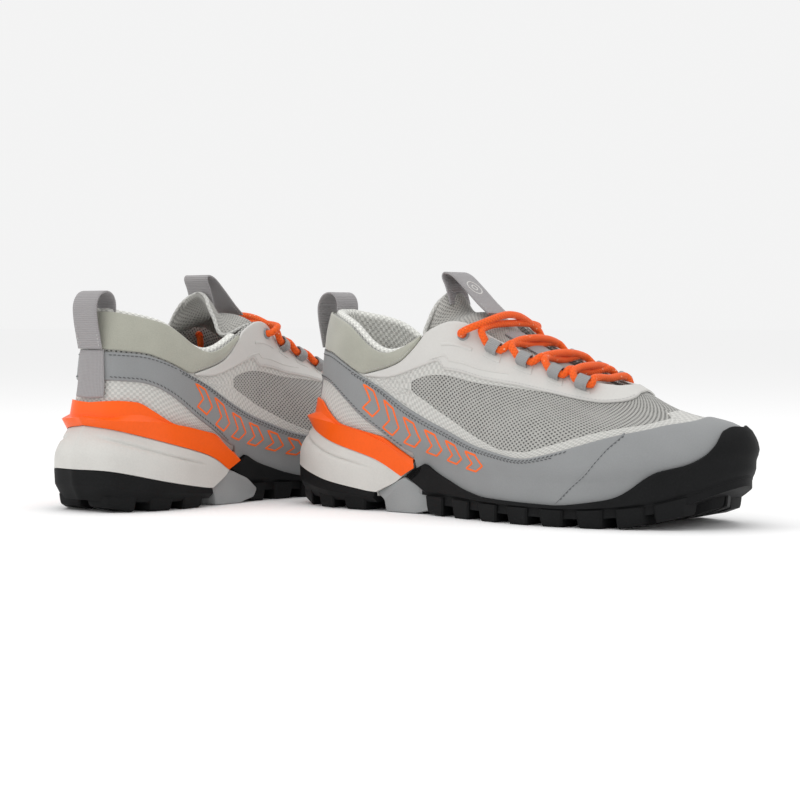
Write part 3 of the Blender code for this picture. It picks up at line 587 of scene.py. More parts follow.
class Recipe:
    """Node tree of one finish, built a step at a time."""

    def __init__(self, name: str, colour: Colour, roughness: float) -> None:
        """Start a material.

        Args:
            name: Name of the material.
            colour: Base colour where no pattern is fed in.
            roughness: Roughness where no pattern is fed in.
        """
        self.material = bpy.data.materials.new(name)
        self.material.use_nodes = True
        self.material.diffuse_color = (*colour, 1)
        self.tree = self.material.node_tree
        self.shader = self.tree.nodes["Principled BSDF"]
        self.shader.inputs["Base Color"].default_value = (*colour, 1)
        self.shader.inputs["Roughness"].default_value = roughness

    def feed(self, socket: Socket, value: Value) -> None:
        """Link a socket, or set its value.

        Args:
            socket: Input to feed.
            value: Output socket, number or colour.
        """
        if isinstance(value, bpy.types.NodeSocket):
            self.tree.links.new(value, socket)
        elif isinstance(value, tuple) and len(socket.default_value) == 4:
            socket.default_value = (*value[:3], 1)
        else:
            socket.default_value = value

    def step(self, kind: str, feeds: dict, **settings: object) -> bpy.types.Node:
        """Add a node.

        Args:
            kind: Node type.
            feeds: Inputs by name or number.
            settings: Properties of the node.

        Returns:
            The node.
        """
        node = self.tree.nodes.new(kind)
        for name, value in settings.items():
            setattr(node, name, value)
        for name, value in feeds.items():
            self.feed(node.inputs[name], value)
        return node

    def math(self, operation: str, a: Value, b: Value = 0.0) -> Socket:
        """Combine two numbers and return the result's socket."""
        return self.step("ShaderNodeMath", {0: a, 1: b}, operation=operation).outputs[0]

    def cloth(self) -> tuple[Socket, Socket, Socket]:
        """Read the UV map, in metres.

        Returns:
            The map as a vector, and its U and V.
        """
        vector = self.step("ShaderNodeTexCoord", {}).outputs["UV"]
        split = self.step("ShaderNodeSeparateXYZ", {0: vector})
        return vector, split.outputs[0], split.outputs[1]

    def solid(self) -> Socket:
        """Return the place in the object."""
        return self.step("ShaderNodeTexCoord", {}).outputs["Object"]

    def noise(self, vector: Socket, size: float, detail: float = 3.0) -> Socket:
        """Return noise whose spots are about `size` metres across."""
        return self.step("ShaderNodeTexNoise", {"Vector": vector, "Scale": 1 / size,
                                                "Detail": detail}).outputs[0]

    def wave(self, value: Value, pitch: float) -> Socket:
        """Return a cosine of a length, with the given pitch in metres."""
        return self.math("COSINE", self.math("MULTIPLY", value, 2 * math.pi / pitch))

    def lattice(self, u: Value, v: Value, wide: float, high: float) -> Socket:
        """Return spots on an offset lattice, from -1 to 1."""
        return self.math("MULTIPLY", self.wave(u, wide), self.wave(v, high))

    def between(self, value: Value, low: float, high: float) -> Socket:
        """Return 0 below `low` and 1 above `high`, eased between them."""
        return self.step("ShaderNodeMapRange", {0: value, 1: low, 2: high},
                         interpolation_type="SMOOTHSTEP").outputs[0]

    def blend(self, share: Value, first: Value, second: Value) -> Socket:
        """Return a colour between two."""
        return self.step("ShaderNodeMix", {0: share, 6: first, 7: second},
                         data_type="RGBA").outputs[2]

    def finish(self, colour: Optional[Value] = None, height: Optional[Socket] = None,
               depth: float = 0.0002, roughness: Optional[Value] = None,
               **sockets: float) -> bpy.types.Material:
        """Feed the shader.

        Args:
            colour: Base colour.
            height: Relief, from 0 to 1.
            depth: Height of the relief in metres.
            roughness: Roughness.
            sockets: Fixed values of other inputs, with _ for each space.

        Returns:
            The finished material.
        """
        if colour is not None:
            self.feed(self.shader.inputs["Base Color"], colour)
        if roughness is not None:
            self.feed(self.shader.inputs["Roughness"], roughness)
        if height is not None:
            bump = self.step("ShaderNodeBump", {"Height": height, "Distance": depth,
                                                "Strength": 1.0})
            self.feed(self.shader.inputs["Normal"], bump.outputs[0])
        for name, value in sockets.items():
            self.feed(self.shader.inputs[name.replace("_", " ")], value)
        return self.material


@dataclass(frozen=True)
class OpenMesh:
    """Knitted mesh with dark pores on an offset lattice."""

    name: str = "open_mesh"
    thread: Colour = (0.46, 0.455, 0.43)
    pore: Colour = (0.09, 0.09, 0.085)
    wide: float = 0.0030
    high: float = 0.0023
    opening: float = 0.28
    depth: float = 0.0006

    def material(self) -> bpy.types.Material:
        """Build the node tree.

        Returns:
            The finished material.
        """
        r = Recipe(self.name, self.thread, 0.88)
        vector, u, v = r.cloth()
        drift = r.math("MULTIPLY", r.noise(vector, 0.011), 0.5)
        spots = r.math("ADD", r.lattice(u, v, self.wide, self.high), drift)
        pores = r.between(spots, self.opening + 0.12, self.opening + 0.62)
        fine = r.noise(vector, 0.0007, 2)
        dark = tuple(c * 0.78 for c in self.thread)
        yarn = r.blend(r.between(fine, 0.3, 0.7), dark, self.thread)
        height = r.math("ADD", r.math("MULTIPLY", pores, -1.0), r.math("MULTIPLY", fine, 0.25))
        return r.finish(r.blend(pores, yarn, self.pore), height, self.depth,
                        Sheen_Weight=0.25, Sheen_Roughness=0.5, Specular_IOR_Level=0.25)


@dataclass(frozen=True)
class PatternKnit:
    """Close textile with a small raised pattern."""

    name: str
    colour: Colour
    wide: float = 0.0036
    high: float = 0.0026
    depth: float = 0.0003
    shade: float = 0.72

    def material(self) -> bpy.types.Material:
        """Build the node tree.

        Returns:
            The finished material.
        """
        r = Recipe(self.name, self.colour, 0.85)
        vector, u, v = r.cloth()
        spots = r.lattice(u, v, self.wide, self.high)
        fine = r.noise(vector, 0.0006, 2)
        raised = r.between(r.math("ADD", spots, r.math("MULTIPLY", fine, 0.5)), -0.25, 0.6)
        dark = tuple(c * self.shade for c in self.colour)
        height = r.math("ADD", raised, r.math("MULTIPLY", fine, 0.3))
        return r.finish(r.blend(raised, dark, self.colour), height, self.depth,
                        Sheen_Weight=0.3, Sheen_Roughness=0.5, Specular_IOR_Level=0.25)


@dataclass(frozen=True)
class Webbing:
    """Narrow woven tape with ribs along and across."""

    name: str
    colour: Colour
    rib: float = 0.0011
    depth: float = 0.00022

    def material(self) -> bpy.types.Material:
        """Build the node tree.

        Returns:
            The finished material.
        """
        r = Recipe(self.name, self.colour, 0.7)
        vector, u, v = r.cloth()
        cross = r.math("MULTIPLY", r.wave(v, self.rib * 0.8), 0.6)
        ribs = r.math("ADD", r.wave(u, self.rib), cross)
        fine = r.noise(vector, 0.0008, 2)
        tone = r.between(r.math("ADD", ribs, fine), -0.8, 1.6)
        dark = tuple(c * 0.74 for c in self.colour)
        return r.finish(r.blend(tone, dark, self.colour), tone, self.depth,
                        Sheen_Weight=0.2, Specular_IOR_Level=0.3)


@dataclass(frozen=True)
class Grained:
    """Smooth or napped skin: microfibre, film, suede, foam, rubber or moulded plastic."""

    name: str
    colour: Colour
    roughness: float
    grain: float = 0.0009
    depth: float = 0.00008
    mottle: float = 0.12
    cloud: float = 0.02
    sheen: float = 0.0
    coat: float = 0.0
    shine: float = 0.35

    def material(self) -> bpy.types.Material:
        """Build the node tree.

        Returns:
            The finished material.
        """
        r = Recipe(self.name, self.colour, self.roughness)
        place = r.solid()
        fine = r.noise(place, self.grain, 4)
        cloud = r.noise(place, self.cloud, 2)
        tone = r.math("ADD", r.math("MULTIPLY", fine, 0.5), r.math("MULTIPLY", cloud, 0.5))
        dark = tuple(c * (1 - self.mottle) for c in self.colour)
        light = tuple(min(1.0, c * (1 + self.mottle * 0.6)) for c in self.colour)
        gloss = r.math("ADD", r.math("MULTIPLY", cloud, 0.16), self.roughness - 0.08)
        colour = r.blend(r.between(tone, 0.3, 0.7), dark, light)
        return r.finish(colour, fine, self.depth, gloss, Sheen_Weight=self.sheen,
                        Coat_Weight=self.coat, Coat_Roughness=0.25,
                        Specular_IOR_Level=self.shine)


@dataclass(frozen=True)
class Braid:
    """Round braided cord with light flecks."""

    name: str = "cord_braid"
    colour: Colour = (0.93, 0.125, 0.012)
    fleck: Colour = (0.98, 0.72, 0.5)
    lay: float = 0.0022
    girth: float = 0.01508

    def material(self) -> bpy.types.Material:
        """Build the node tree.

        Returns:
            The finished material.
        """
        r = Recipe(self.name, self.colour, 0.62)
        vector, u, v = r.cloth()
        turn = r.math("MULTIPLY", v, 6 * self.lay / self.girth)
        braid = r.lattice(u, turn, self.lay, self.lay)
        cell = r.step("ShaderNodeTexVoronoi", {"Vector": vector, "Scale": 620.0})
        picked = r.step("ShaderNodeSeparateColor", {0: cell.outputs["Color"]}).outputs[0]
        light = r.math("MULTIPLY", r.between(picked, 0.9, 0.93),
                       r.math("SUBTRACT", 0.75, r.between(cell.outputs["Distance"], 0.2, 0.4)))
        tone = r.between(braid, -0.9, 0.5)
        body = r.blend(tone, tuple(c * 0.82 for c in self.colour), self.colour)
        return r.finish(r.blend(light, body, self.fleck), tone, 0.00022, Sheen_Weight=0.1,
                        Specular_IOR_Level=0.2)


@dataclass
class Finishes:
    """Every finish of the pair, made once; slot names are the record's."""

    made: dict = field(default_factory=dict)

    def __post_init__(self) -> None:
        """Make all the materials."""
        recipes = {
            "mesh_grey": OpenMesh(),
            "tongue_mesh": OpenMesh("tongue_mesh", (0.47, 0.46, 0.43), (0.24, 0.235, 0.22),
                                    0.0024, 0.0019, 0.3, 0.0004),
            "border_white": PatternKnit("border_white", (0.62, 0.615, 0.585), shade=0.8),
            # knit_white, the collar lining, is painted lighter than border_white, the same knit,
            # and its pattern less dark: painted light against the shade inside the collar.
            "knit_white": PatternKnit("knit_white", (0.86, 0.86, 0.81), 0.0036, 0.0042, 0.0004,
                                      0.78),
            "microfibre_grey": Grained("microfibre_grey", (0.255, 0.262, 0.265), 0.56, 0.0007,
                                       0.00005, 0.06, sheen=0.1),
            "overlay_white": Grained("overlay_white", (0.60, 0.59, 0.565), 0.46, 0.0012, 0.00003,
                                     0.03),
            "suede_beige": Grained("suede_beige", (0.385, 0.385, 0.325), 0.85, 0.0006, 0.00012,
                                   0.12, sheen=0.5),
            "foam_white": Grained("foam_white", (0.60, 0.59, 0.56), 0.6, 0.0011, 0.00006, 0.05),
            "rubber_black": Grained("rubber_black", (0.0085, 0.0088, 0.0092), 0.6, 0.0009, 0.00008,
                                    0.3, shine=0.12),
            "shank_grey": Grained("shank_grey", (0.30, 0.31, 0.312), 0.48, 0.001, 0.00004, 0.06),
            "tpu_orange": Grained("tpu_orange", (0.94, 0.118, 0.008), 0.36, 0.0014, 0.00002, 0.04,
                                  coat=0.05, shine=0.2),
            "board_cream": Grained("board_cream", (0.55, 0.51, 0.43), 0.85, 0.0014, 0.00018, 0.2),
            "footbed_grey": PatternKnit("footbed_grey", (0.24, 0.245, 0.25), 0.0024, 0.0024,
                                        0.0002),
            "webbing_grey": Webbing("webbing_grey", (0.36, 0.345, 0.35)),
            "loop_grey": Webbing("loop_grey", (0.40, 0.40, 0.40), 0.0009, 0.0003),
            "eyelet_grey": Grained("eyelet_grey", (0.27, 0.28, 0.29), 0.32, 0.001, 0.00002, 0.04),
            "cord_orange": Braid(),
            "plastic_clear": Grained("plastic_clear", (0.80, 0.42, 0.25), 0.2, 0.002, 0.00001,
                                     0.05, coat=0.6),
            "thread_dark": Grained("thread_dark", (0.10, 0.105, 0.11), 0.6, 0.0005, 0.00005, 0.2),
            "thread_light": Grained("thread_light", (0.52, 0.52, 0.51), 0.6, 0.0005, 0.00005, 0.2),
            "print_orange": Grained("print_orange", (0.93, 0.15, 0.02), 0.45, 0.0008, 0.00002,
                                    0.05),
        }
        self.made = {name: recipe.material() for name, recipe in recipes.items()}

    def __getitem__(self, name: str) -> bpy.types.Material:
        """Return a material by its finish name."""
        return self.made[name]


# ------------------------------------------------------------------------------ placing pieces


@dataclass
class Pair:
    finishes: Finishes
    placed: list = field(default_factory=list)

    def add(self, shape: Shape, name: str, finish: str, slot: str = "", node: str = "",
            body: str = "shoe", smooth: float = 50.0) -> list[bpy.types.Object]:
        """Place a shape on the right shoe and its mirror image on the left one.

        Args:
            shape: Shape in shoe millimetres.
            name: Piece name without the shoe's prefix.
            finish: Name of its finish.
            slot: Record slot, if not the finish's own name. Not used.
            node: CAD node that it replaces, without the prefix.
            body: Body that it rides on, without the prefix.
            smooth: Angle in degrees up to which edges are shaded smooth.

        Returns:
            The two pieces, right first.
        """
        pieces = []
        for side in Side:
            data = self.mesh(shape, f"{side.prefix}_{name}", side)
            obj = bpy.data.objects.new(data.name, data)
            bpy.context.collection.objects.link(obj)
            data.materials.append(self.finishes[finish])
            self.soften(obj, smooth)
            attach(obj, f"{side.prefix}_{body}")
            if node:
                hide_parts(f"{side.prefix}_{node}")
            pieces.append(obj)
        self.placed.append(name)
        LOG.info("%s: %d faces on each shoe", name, len(pieces[0].data.polygons))
        return pieces

    def mesh(self, shape: Shape, name: str, side: Side) -> bpy.types.Mesh:
        """Weld a shape into a mesh at a shoe's place, its faces outwards, with its UV map.

        Args:
            shape: Shape in shoe millimetres.
            name: Name of the mesh.
            side: Shoe that it belongs to.

        Returns:
            The mesh.
        """
        data = bpy.data.meshes.new(name)
        data.from_pydata(side.to_world(shape.points).tolist(), [], shape.faces)
        if shape.uvs:
            data.uv_layers.new(name="UVMap").data.foreach_set("uv", np.array(shape.uvs).ravel())
        bm = bmesh.new()
        bm.from_mesh(data)
        bmesh.ops.remove_doubles(bm, verts=bm.verts, dist=2e-6)
        bmesh.ops.dissolve_degenerate(bm, dist=1e-6, edges=bm.edges)
        bmesh.ops.recalc_face_normals(bm, faces=bm.faces)
        bm.to_mesh(data)
        bm.free()
        return data

    @staticmethod
    def soften(obj: bpy.types.Object, angle: float) -> None:
        """Shade smooth across flat edges.

        Args:
            obj: Piece.
            angle: Largest angle in degrees that is smoothed.
        """
        bpy.ops.object.select_all(action="DESELECT")
        bpy.context.view_layer.objects.active = obj
        obj.select_set(True)
        bpy.ops.object.shade_smooth_by_angle(angle=math.radians(angle))
        obj.select_set(False)

    def dress(self, node: str, finish: str) -> None:
        """Give a CAD node that keeps its mesh its finished material, on both shoes.

        Args:
            node: Node without the shoe's prefix.
            finish: Name of the finish.
        """
        for side in Side:
            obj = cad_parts[f"{side.prefix}_{node}"]
            for place in obj.material_slots:
                place.material = self.finishes[finish]


# ------------------------------------------------------------------------------ sole unit


def spread(first: float, last: float, step: float = 0.1) -> Array:
    """Even stations from one to another, about a step apart."""
    return np.linspace(first, last, int(round(abs(last - first) / step)) + 1)


def inset(points: Array, t: Array, distance: float) -> Array:
    """Move points of the sole straight towards the middle of the shoe."""
    normal = FORM.normal(t, np.full_like(t, 0.5)) * (1, 1, 0)
    return points - distance * unit(normal)


def at_height(points: Array, z: Array) -> Array:
    """Copy points to another height.

    Args:
        points: Points, any shape.
        z: New height, one or one for each.

    Returns:
        The moved copy.
    """
    moved = np.array(points, float)
    moved[..., 2] = z
    return moved


def tub(stations: Array, chain: Callable[[Array], Array], cells: int = 12) -> Shape:
    """Body across the whole shoe, from the wall on one side to the wall on the other.

    Args:
        stations: Lateral stations, in order.
        chain: Gives each station's wall, from the bottom edge over the top to the floor,
            shape (stations, points, 3).
        cells: Faces across the bottom and the floor.

    Returns:
        The closed shape.
    """
    lateral, medial = chain(stations), chain(TURN - stations)
    shares = np.linspace(0, 1, cells + 1)[1:-1]
    floor = np.stack([lateral[:, -1] * (1 - f) + medial[:, -1] * f for f in shares], 1)
    bottom = np.stack([medial[:, 0] * (1 - f) + lateral[:, 0] * f for f in shares], 1)
    return loft(np.concatenate([lateral, floor, medial[:, ::-1], bottom], axis=1))


@dataclass
class HeelUnit:
    """Heel rubber, foam cup and orange clip, drawn through outer lines at five stations.

    A row of tread blocks is (back, front, shares of the width, bevel at the back).
    """

    stations: Sequence = (0, 1, 2, 3, 3.5)
    tread: Sequence = ((-2, 0, 7), (5, 23, 6.5), (35, 37, 5), (64, 38.5, 5), (74, 38.5, 5))
    rubber: Sequence = ((-5, 0, 25), (3.5, 25, 24), (34, 39.5, 17), (64, 39.5, 12), (74, 39, 11))
    foam: Sequence = ((-4.5, 0, 36), (4.5, 24.5, 35), (34, 39.5, 29), (70, 38.5, 23), (86, 37, 17))
    clip_low: Sequence = ((3.5, 0, 50.5), (11, 21.5, 47.5), (38, 36.5, 39.5), (72, 37.8, 30.5),
                          (91, 36.2, 20.8))
    ridge: Sequence = ((0.5, 0, 55.5), (7.5, 22.5, 54), (38, 37.5, 51.5), (73, 38.5, 43.5),
                       (101, 36.8, 26.5))
    rows: Sequence = ((3, 18, ((0, 0.44), (0.56, 1)), 3.2),
                      (26, 41, ((0, 0.3), (0.36, 0.64), (0.7, 1)), 0),
                      (49, 66, ((0, 0.3), (0.36, 0.64), (0.7, 1)), 0))
    floor: float = 8.8
    groove: float = 1.3
    recess: float = 2.4
    root: float = 9.4

    def line(self, name: str, t: Array) -> Array:
        """Points on one of the outer lines.

        Args:
            name: Field that holds the line.
            t: Stations of either side.

        Returns:
            Points, one for each station.
        """
        at = np.interp(fold(t), self.stations, range(len(self.stations)))
        points = catmull(np.array(getattr(self, name), float), at, False)
        points[:, 1] *= np.where(np.asarray(t) % TURN <= HALF, -1, 1)
        return points

    def outsole(self) -> Shape:
        """Rubber plate with the rim that wraps the foam's lower edge.

        Returns:
            The closed shape.
        """
        def chain(t: Array) -> Array:
            """Wall of the rubber.

            Args:
                t: Stations of either side.

            Returns:
                Points, shape (stations, points, 3).
            """
            top, tread = self.line("rubber", t), self.line("tread", t)
            flare = (tread + top) / 2 + inset(top, t, -0.8) - top
            tread = inset(tread, t, self.recess)
            inner = at_height(inset(tread, t, SIZE.rubber), self.floor - SIZE.gap)
            return fillet(np.array([tread, flare, top, inset(top, t, SIZE.rubber), inner]),
                          1.6).transpose(1, 0, 2)
        return tub(spread(0, 3.45), chain)

    def cup(self) -> Shape:
        """Off-white foam, with a groove that runs down and forward on both sides.

        Returns:
            The closed shape.
        """
        def chain(t: Array) -> Array:
            """Wall of the foam, with its bulge and groove.

            Args:
                t: Stations of either side.

            Returns:
                Points, shape (stations, points, 3).
            """
            rubber, foam = self.line("rubber", t), self.line("foam", t)
            lip = self.line("clip_low", t) - (0, 0, SIZE.gap)
            low = at_height(inset(self.line("tread", t), t, SIZE.rubber + SIZE.gap), self.floor)
            bulge = catmull(np.stack([rubber + (0, 0, SIZE.gap), foam, lip]),
                            np.linspace(0, 2, 33), False)
            shares = np.linspace(0, 1, 33)[:, None]
            reach = np.interp(fold(t), (0.35, 0.9, 2.4, 3.0), (0, 1, 1, 0))
            middle = np.interp(fold(t), (0.35, 3.0), (0.83, 0.60))
            depth = self.groove * reach * np.exp(-((shares - middle) / 0.035) ** 2)
            outward = unit(FORM.normal(t, np.full_like(t, 0.5)) * (1, 1, 0))
            bulge = bulge - outward[None] * depth[..., None]
            rim = FORM.layer(t, CLIP_LOW.at(t), SIZE.cup)
            feather = FORM.layer(t, 0, SIZE.cup)
            inner = at_height(feather, feather[:, 2] - 1.6)
            tuck = inset(rubber, t, SIZE.rubber + SIZE.gap) + (0, 0, SIZE.gap)
            return np.concatenate([[low, tuck], bulge, [rim, inner]]).transpose(1, 0, 2)
        return tub(spread(0, 3.5), chain)

    def clip(self) -> Shape:
        """Orange clip round the heel, its ridge standing out as a spur at the back.

        Returns:
            The closed shape.
        """
        t = spread(-3.5, 3.5, 0.07)
        low, top = CLIP_LOW.at(t), CLIP_TOP.at(t)
        base = self.line("clip_low", t) + (0, 0, SIZE.gap)
        ridge = self.line("ridge", t)
        share = np.interp(fold(t), (0.8, 1.9), (0.36, 0.86))
        middle = FORM.layer(t, low + (top - low) * share, SIZE.cup + 1.5)
        upper = FORM.layer(t, top, SIZE.cup + 1.1)
        rim = FORM.layer(t, low, SIZE.cup) + (0, 0, 2 * SIZE.gap)
        inside = [FORM.layer(t, low + (top - low) * f, SIZE.cup) for f in (1, 0.66, 0.33)]
        outer = fillet(np.array([rim, base, ridge, middle, upper, inside[0]]), 1.5, 4)
        return loft(np.concatenate([outer, inside[1:]]).transpose(1, 0, 2))

    def lugs(self) -> Shape:
        """Tread blocks of the heel."""
        return merged(self.lug(back, front, first, last, bevel)
                      for back, front, cuts, bevel in self.rows for first, last in cuts)

    def lug(self, back: float, front: float, first: float, last: float, bevel: float) -> Shape:
        """One block of the tread.

        Args:
            back: Where it starts along the shoe.
            front: Where it ends.
            first: Share of the width where it starts.
            last: Share where it ends.
            bevel: How far its back edge is raised.

        Returns:
            The closed shape.
        """
        corners = []
        for x, share in ((back, first), (back, last), (front, last), (front, first)):
            stations = np.linspace(0.05, 3.0, 60)
            edge = self.line("tread", stations)
            wide = np.interp(x, edge[:, 0], -edge[:, 1])
            corners.append((x, -wide + 2 * wide * share, self.root))
        return block(np.array(corners), self.root - bevel * np.array((1, 1, 0, 0)), 0.9)

    def build(self, pair: Pair) -> None:
        """Place the heel's pieces in their finishes.

        Args:
            pair: Where the pieces go.
        """
        pair.add(self.outsole().joined(self.lugs()), "heel_rubber", "rubber_black",
                 node="heel_outsole", smooth=35)
        pair.add(self.cup(), "heel_foam", "foam_white", node="heel_midsole", smooth=60)
        pair.add(self.clip(), "heel_clip_shell", "tpu_orange", node="heel_clip", smooth=40)


def block(top: Array, drop: Union[float, Array], taper: float = 0.86) -> Shape:
    """Tapered tread block under four corners, its edges eased.

    Args:
        top: Its four corners where it leaves the sole, in order.
        drop: How far it reaches down, one value or one for each corner.
        taper: Size of its foot over its root.

    Returns:
        The closed shape.
    """
    middle = top.mean(axis=0)
    drops = np.broadcast_to(drop, (4,))
    sections = []
    for f, size in ((0, 1.0), (0.55, 0.5 + taper / 2), (0.86, taper), (1.0, taper - 0.06)):
        ring = middle + (top - middle) * size
        ring = ring - np.outer(drops * f, (0, 0, 1))
        eased = []
        for k in range(4):
            before, here, after = ring[k - 1], ring[k], ring[(k + 1) % 4]
            eased += [here + unit(before - here) * 1.1, here + unit(after - here) * 1.1]
        sections.append(eased)
    return loft(np.array(sections))


@dataclass
class ForefootUnit:
    """Forefoot rubber with its wings and toe bumper, the bridge behind it, and the insole.

    The bridge's outline is (x, z); the wing's rear edge is (height, station).
    """

    inside: float = SIZE.overlay + 3 * SIZE.gap
    wall: float = 1.8
    recess: float = 2.2
    first: float = 3.54
    lug: float = 5.0
    root: float = 4.6
    backs: Sequence = (112, 134, 156, 178, 200, 222, 243, 262)
    length: float = 14.5
    shift: float = 4.0
    lean: float = 4.0
    shank: Sequence = ((80, 0), (102, 0), (115, 3), (118, 8), (109, 15), (93.5, 21), (73, 11),
                       (78.5, 7))
    end: Sequence = ((-1.0, 3.8), (-0.85, 3.74), (-0.5, 3.38), (0.02, 3.72))
    shank_sides: tuple = (-36.5, 35.5)

    def tread(self, t: Array) -> Array:
        """Edge of the tread surface at stations of either side."""
        level = FORM.point(t, -1)[..., 2] - self.lug
        return at_height(FORM.layer(t, -1, self.inside + 1.7), level)

    def outsole(self) -> Shape:
        """Rubber shell: tread plate and wall, its top edge rounded.

        Returns:
            The closed shape.
        """
        def chain(t: Array) -> Array:
            """Wall of the rubber, with its rounded lip.

            Args:
                t: Stations of either side.

            Returns:
                Points, shape (stations, points, 3).
            """
            top = WALL_TOP.at(t)
            thin = self.inside + self.wall
            fade = np.interp(fold(t), (self.first, 4.3), (1, 0))
            way = np.where(t < HALF, 1, -1)

            def wall(share: float, offset: float) -> Array:
                """One row of the wall.

                Args:
                    share: Share of its height.
                    offset: Distance from the skin.

                Returns:
                    Points, one for each station.
                """
                s = -1 + (top + 1) * share
                start = np.interp(s, *zip(*self.end)) - self.first
                return FORM.layer(t + way * fade * start, s, offset)

            shares = np.linspace(0, 1, 12)
            outer = [wall(f, thin - self.recess * max(0.0, 1 - 0.62 * k))
                     for k, f in enumerate(shares[:-1])]
            lip = [wall(0.985, thin - 0.3), wall(1.0, thin - 0.9)]
            inner = [wall(f, self.inside) for f in shares[::-3]]
            points = [at_height(outer[0], self.tread(t)[:, 2])] + outer + lip + inner
            points.append(at_height(inner[-1], FORM.point(t, -1)[:, 2] - SIZE.gap))
            return np.array(points).transpose(1, 0, 2)
        return tub(spread(10, self.first, 0.07), chain, 16)

    def lugs(self) -> Shape:
        """Tread blocks: long ones along both edges, chevrons between them.

        Returns:
            All the blocks in one mesh.
        """
        stations = np.linspace(3.65, 9.75, 120)
        edges = (self.tread(stations), self.tread(TURN - stations))
        blocks = []
        for number, back in enumerate(self.backs):
            front = back + self.length
            shift = self.shift if number % 2 else 0.0
            cuts = ((0.0, 0.23, 0.0), (0.30, 0.49, shift), (0.51, 0.70, shift), (0.77, 1.0, 0.0))
            for first, last, move in cuts:
                lean = self.lean if 0.25 < first < 0.75 else 0.0
                corners = []
                for x, share in ((back, first), (back, last), (front, last), (front, first)):
                    x = x + move + lean * (1 - abs(share - 0.5) / 0.2)
                    ends = [np.array([np.interp(x, e[:, 0], e[:, k]) for k in range(3)])
                            for e in edges]
                    corners.append(ends[0] * (1 - share) + ends[1] * share)
                corners = np.array(corners)
                drops = np.where(corners[:, 2] < self.lug + 1.5, corners[:, 2], self.lug)
                corners[:, 2] += self.root
                blocks.append(block(corners, drops + self.root, 0.9))
        return merged(blocks)

    def bridge(self) -> Shape:
        """Grey bridge, its edges rounded.

        Returns:
            The closed shape.
        """
        profile = np.array([(x, 0, z) for x, z in self.shank], float)
        outline = []
        for k in range(len(profile)):
            outline += list(fillet(profile[[k - 1, k, (k + 1) % len(profile)]], 1.4)[1:-1])
        outline = np.array(outline)
        middle = outline.mean(axis=0)
        sections = []
        low, high = self.shank_sides
        for y, size in ((low, 0.95), (low + 0.5, 0.985), (low + 1.3, 1), (high - 1.3, 1),
                        (high - 0.5, 0.985), (high, 0.95)):
            ring = middle + (outline - middle) * size
            ring[:, 1] = y
            ring[:, 2] = np.maximum(ring[:, 2], 0)
            sections.append(ring)
        return loft(np.array(sections))

    def footbed(self) -> Shape:
        """Removable insole, its edge rounded.

        Returns:
            The closed shape.
        """
        def chain(t: Array) -> Array:
            """Edge of the insole.

            Args:
                t: Stations of either side.

            Returns:
                Points, shape (stations, points, 3).
            """
            floor = FORM.point(t, 0)[:, 2]
            edge = -SIZE.skin - 1.5 - 3 * SIZE.gap - 0.4
            low, high = 1.15, 5.65
            rounding = ((0.6, low), (0, low + 0.8), (0, high - 1.5), (0.5, high - 0.4),
                        (1.6, high))
            points = [at_height(FORM.layer(t, 0, edge - trim), floor + z)
                      for trim, z in rounding]
            return np.array(points).transpose(1, 0, 2)
        return tub(spread(0, 10), chain)

    def build(self, pair: Pair) -> None:
        """Place the forefoot's pieces, and dress the hidden nodes that keep their own mesh.

        Args:
            pair: Where the pieces go.
        """
        pair.add(self.outsole().joined(self.lugs()), "forefoot_rubber", "rubber_black",
                 node="forefoot_outsole", smooth=35)
        pair.add(self.bridge(), "bridge", "shank_grey", node="shank_bridge", smooth=40)
        pair.add(self.footbed(), "insole", "footbed_grey", node="footbed")
        pair.dress("forefoot_midsole", "foam_white")
        for node in ("lasting_board", "heel_counter", "toe_puff"):
            pair.dress(node, "board_cream")


# ------------------------------------------------------------------------------ upper


def on_skin(t: Array, s: Array, offset: float) -> tuple[Array, Array]:
    """Return a line's points at a distance off the skin, and the normals there."""
    t, s = np.broadcast_arrays(np.asarray(t, float), np.asarray(s, float))
    return FORM.layer(t, s, offset), FORM.normal(t, s)


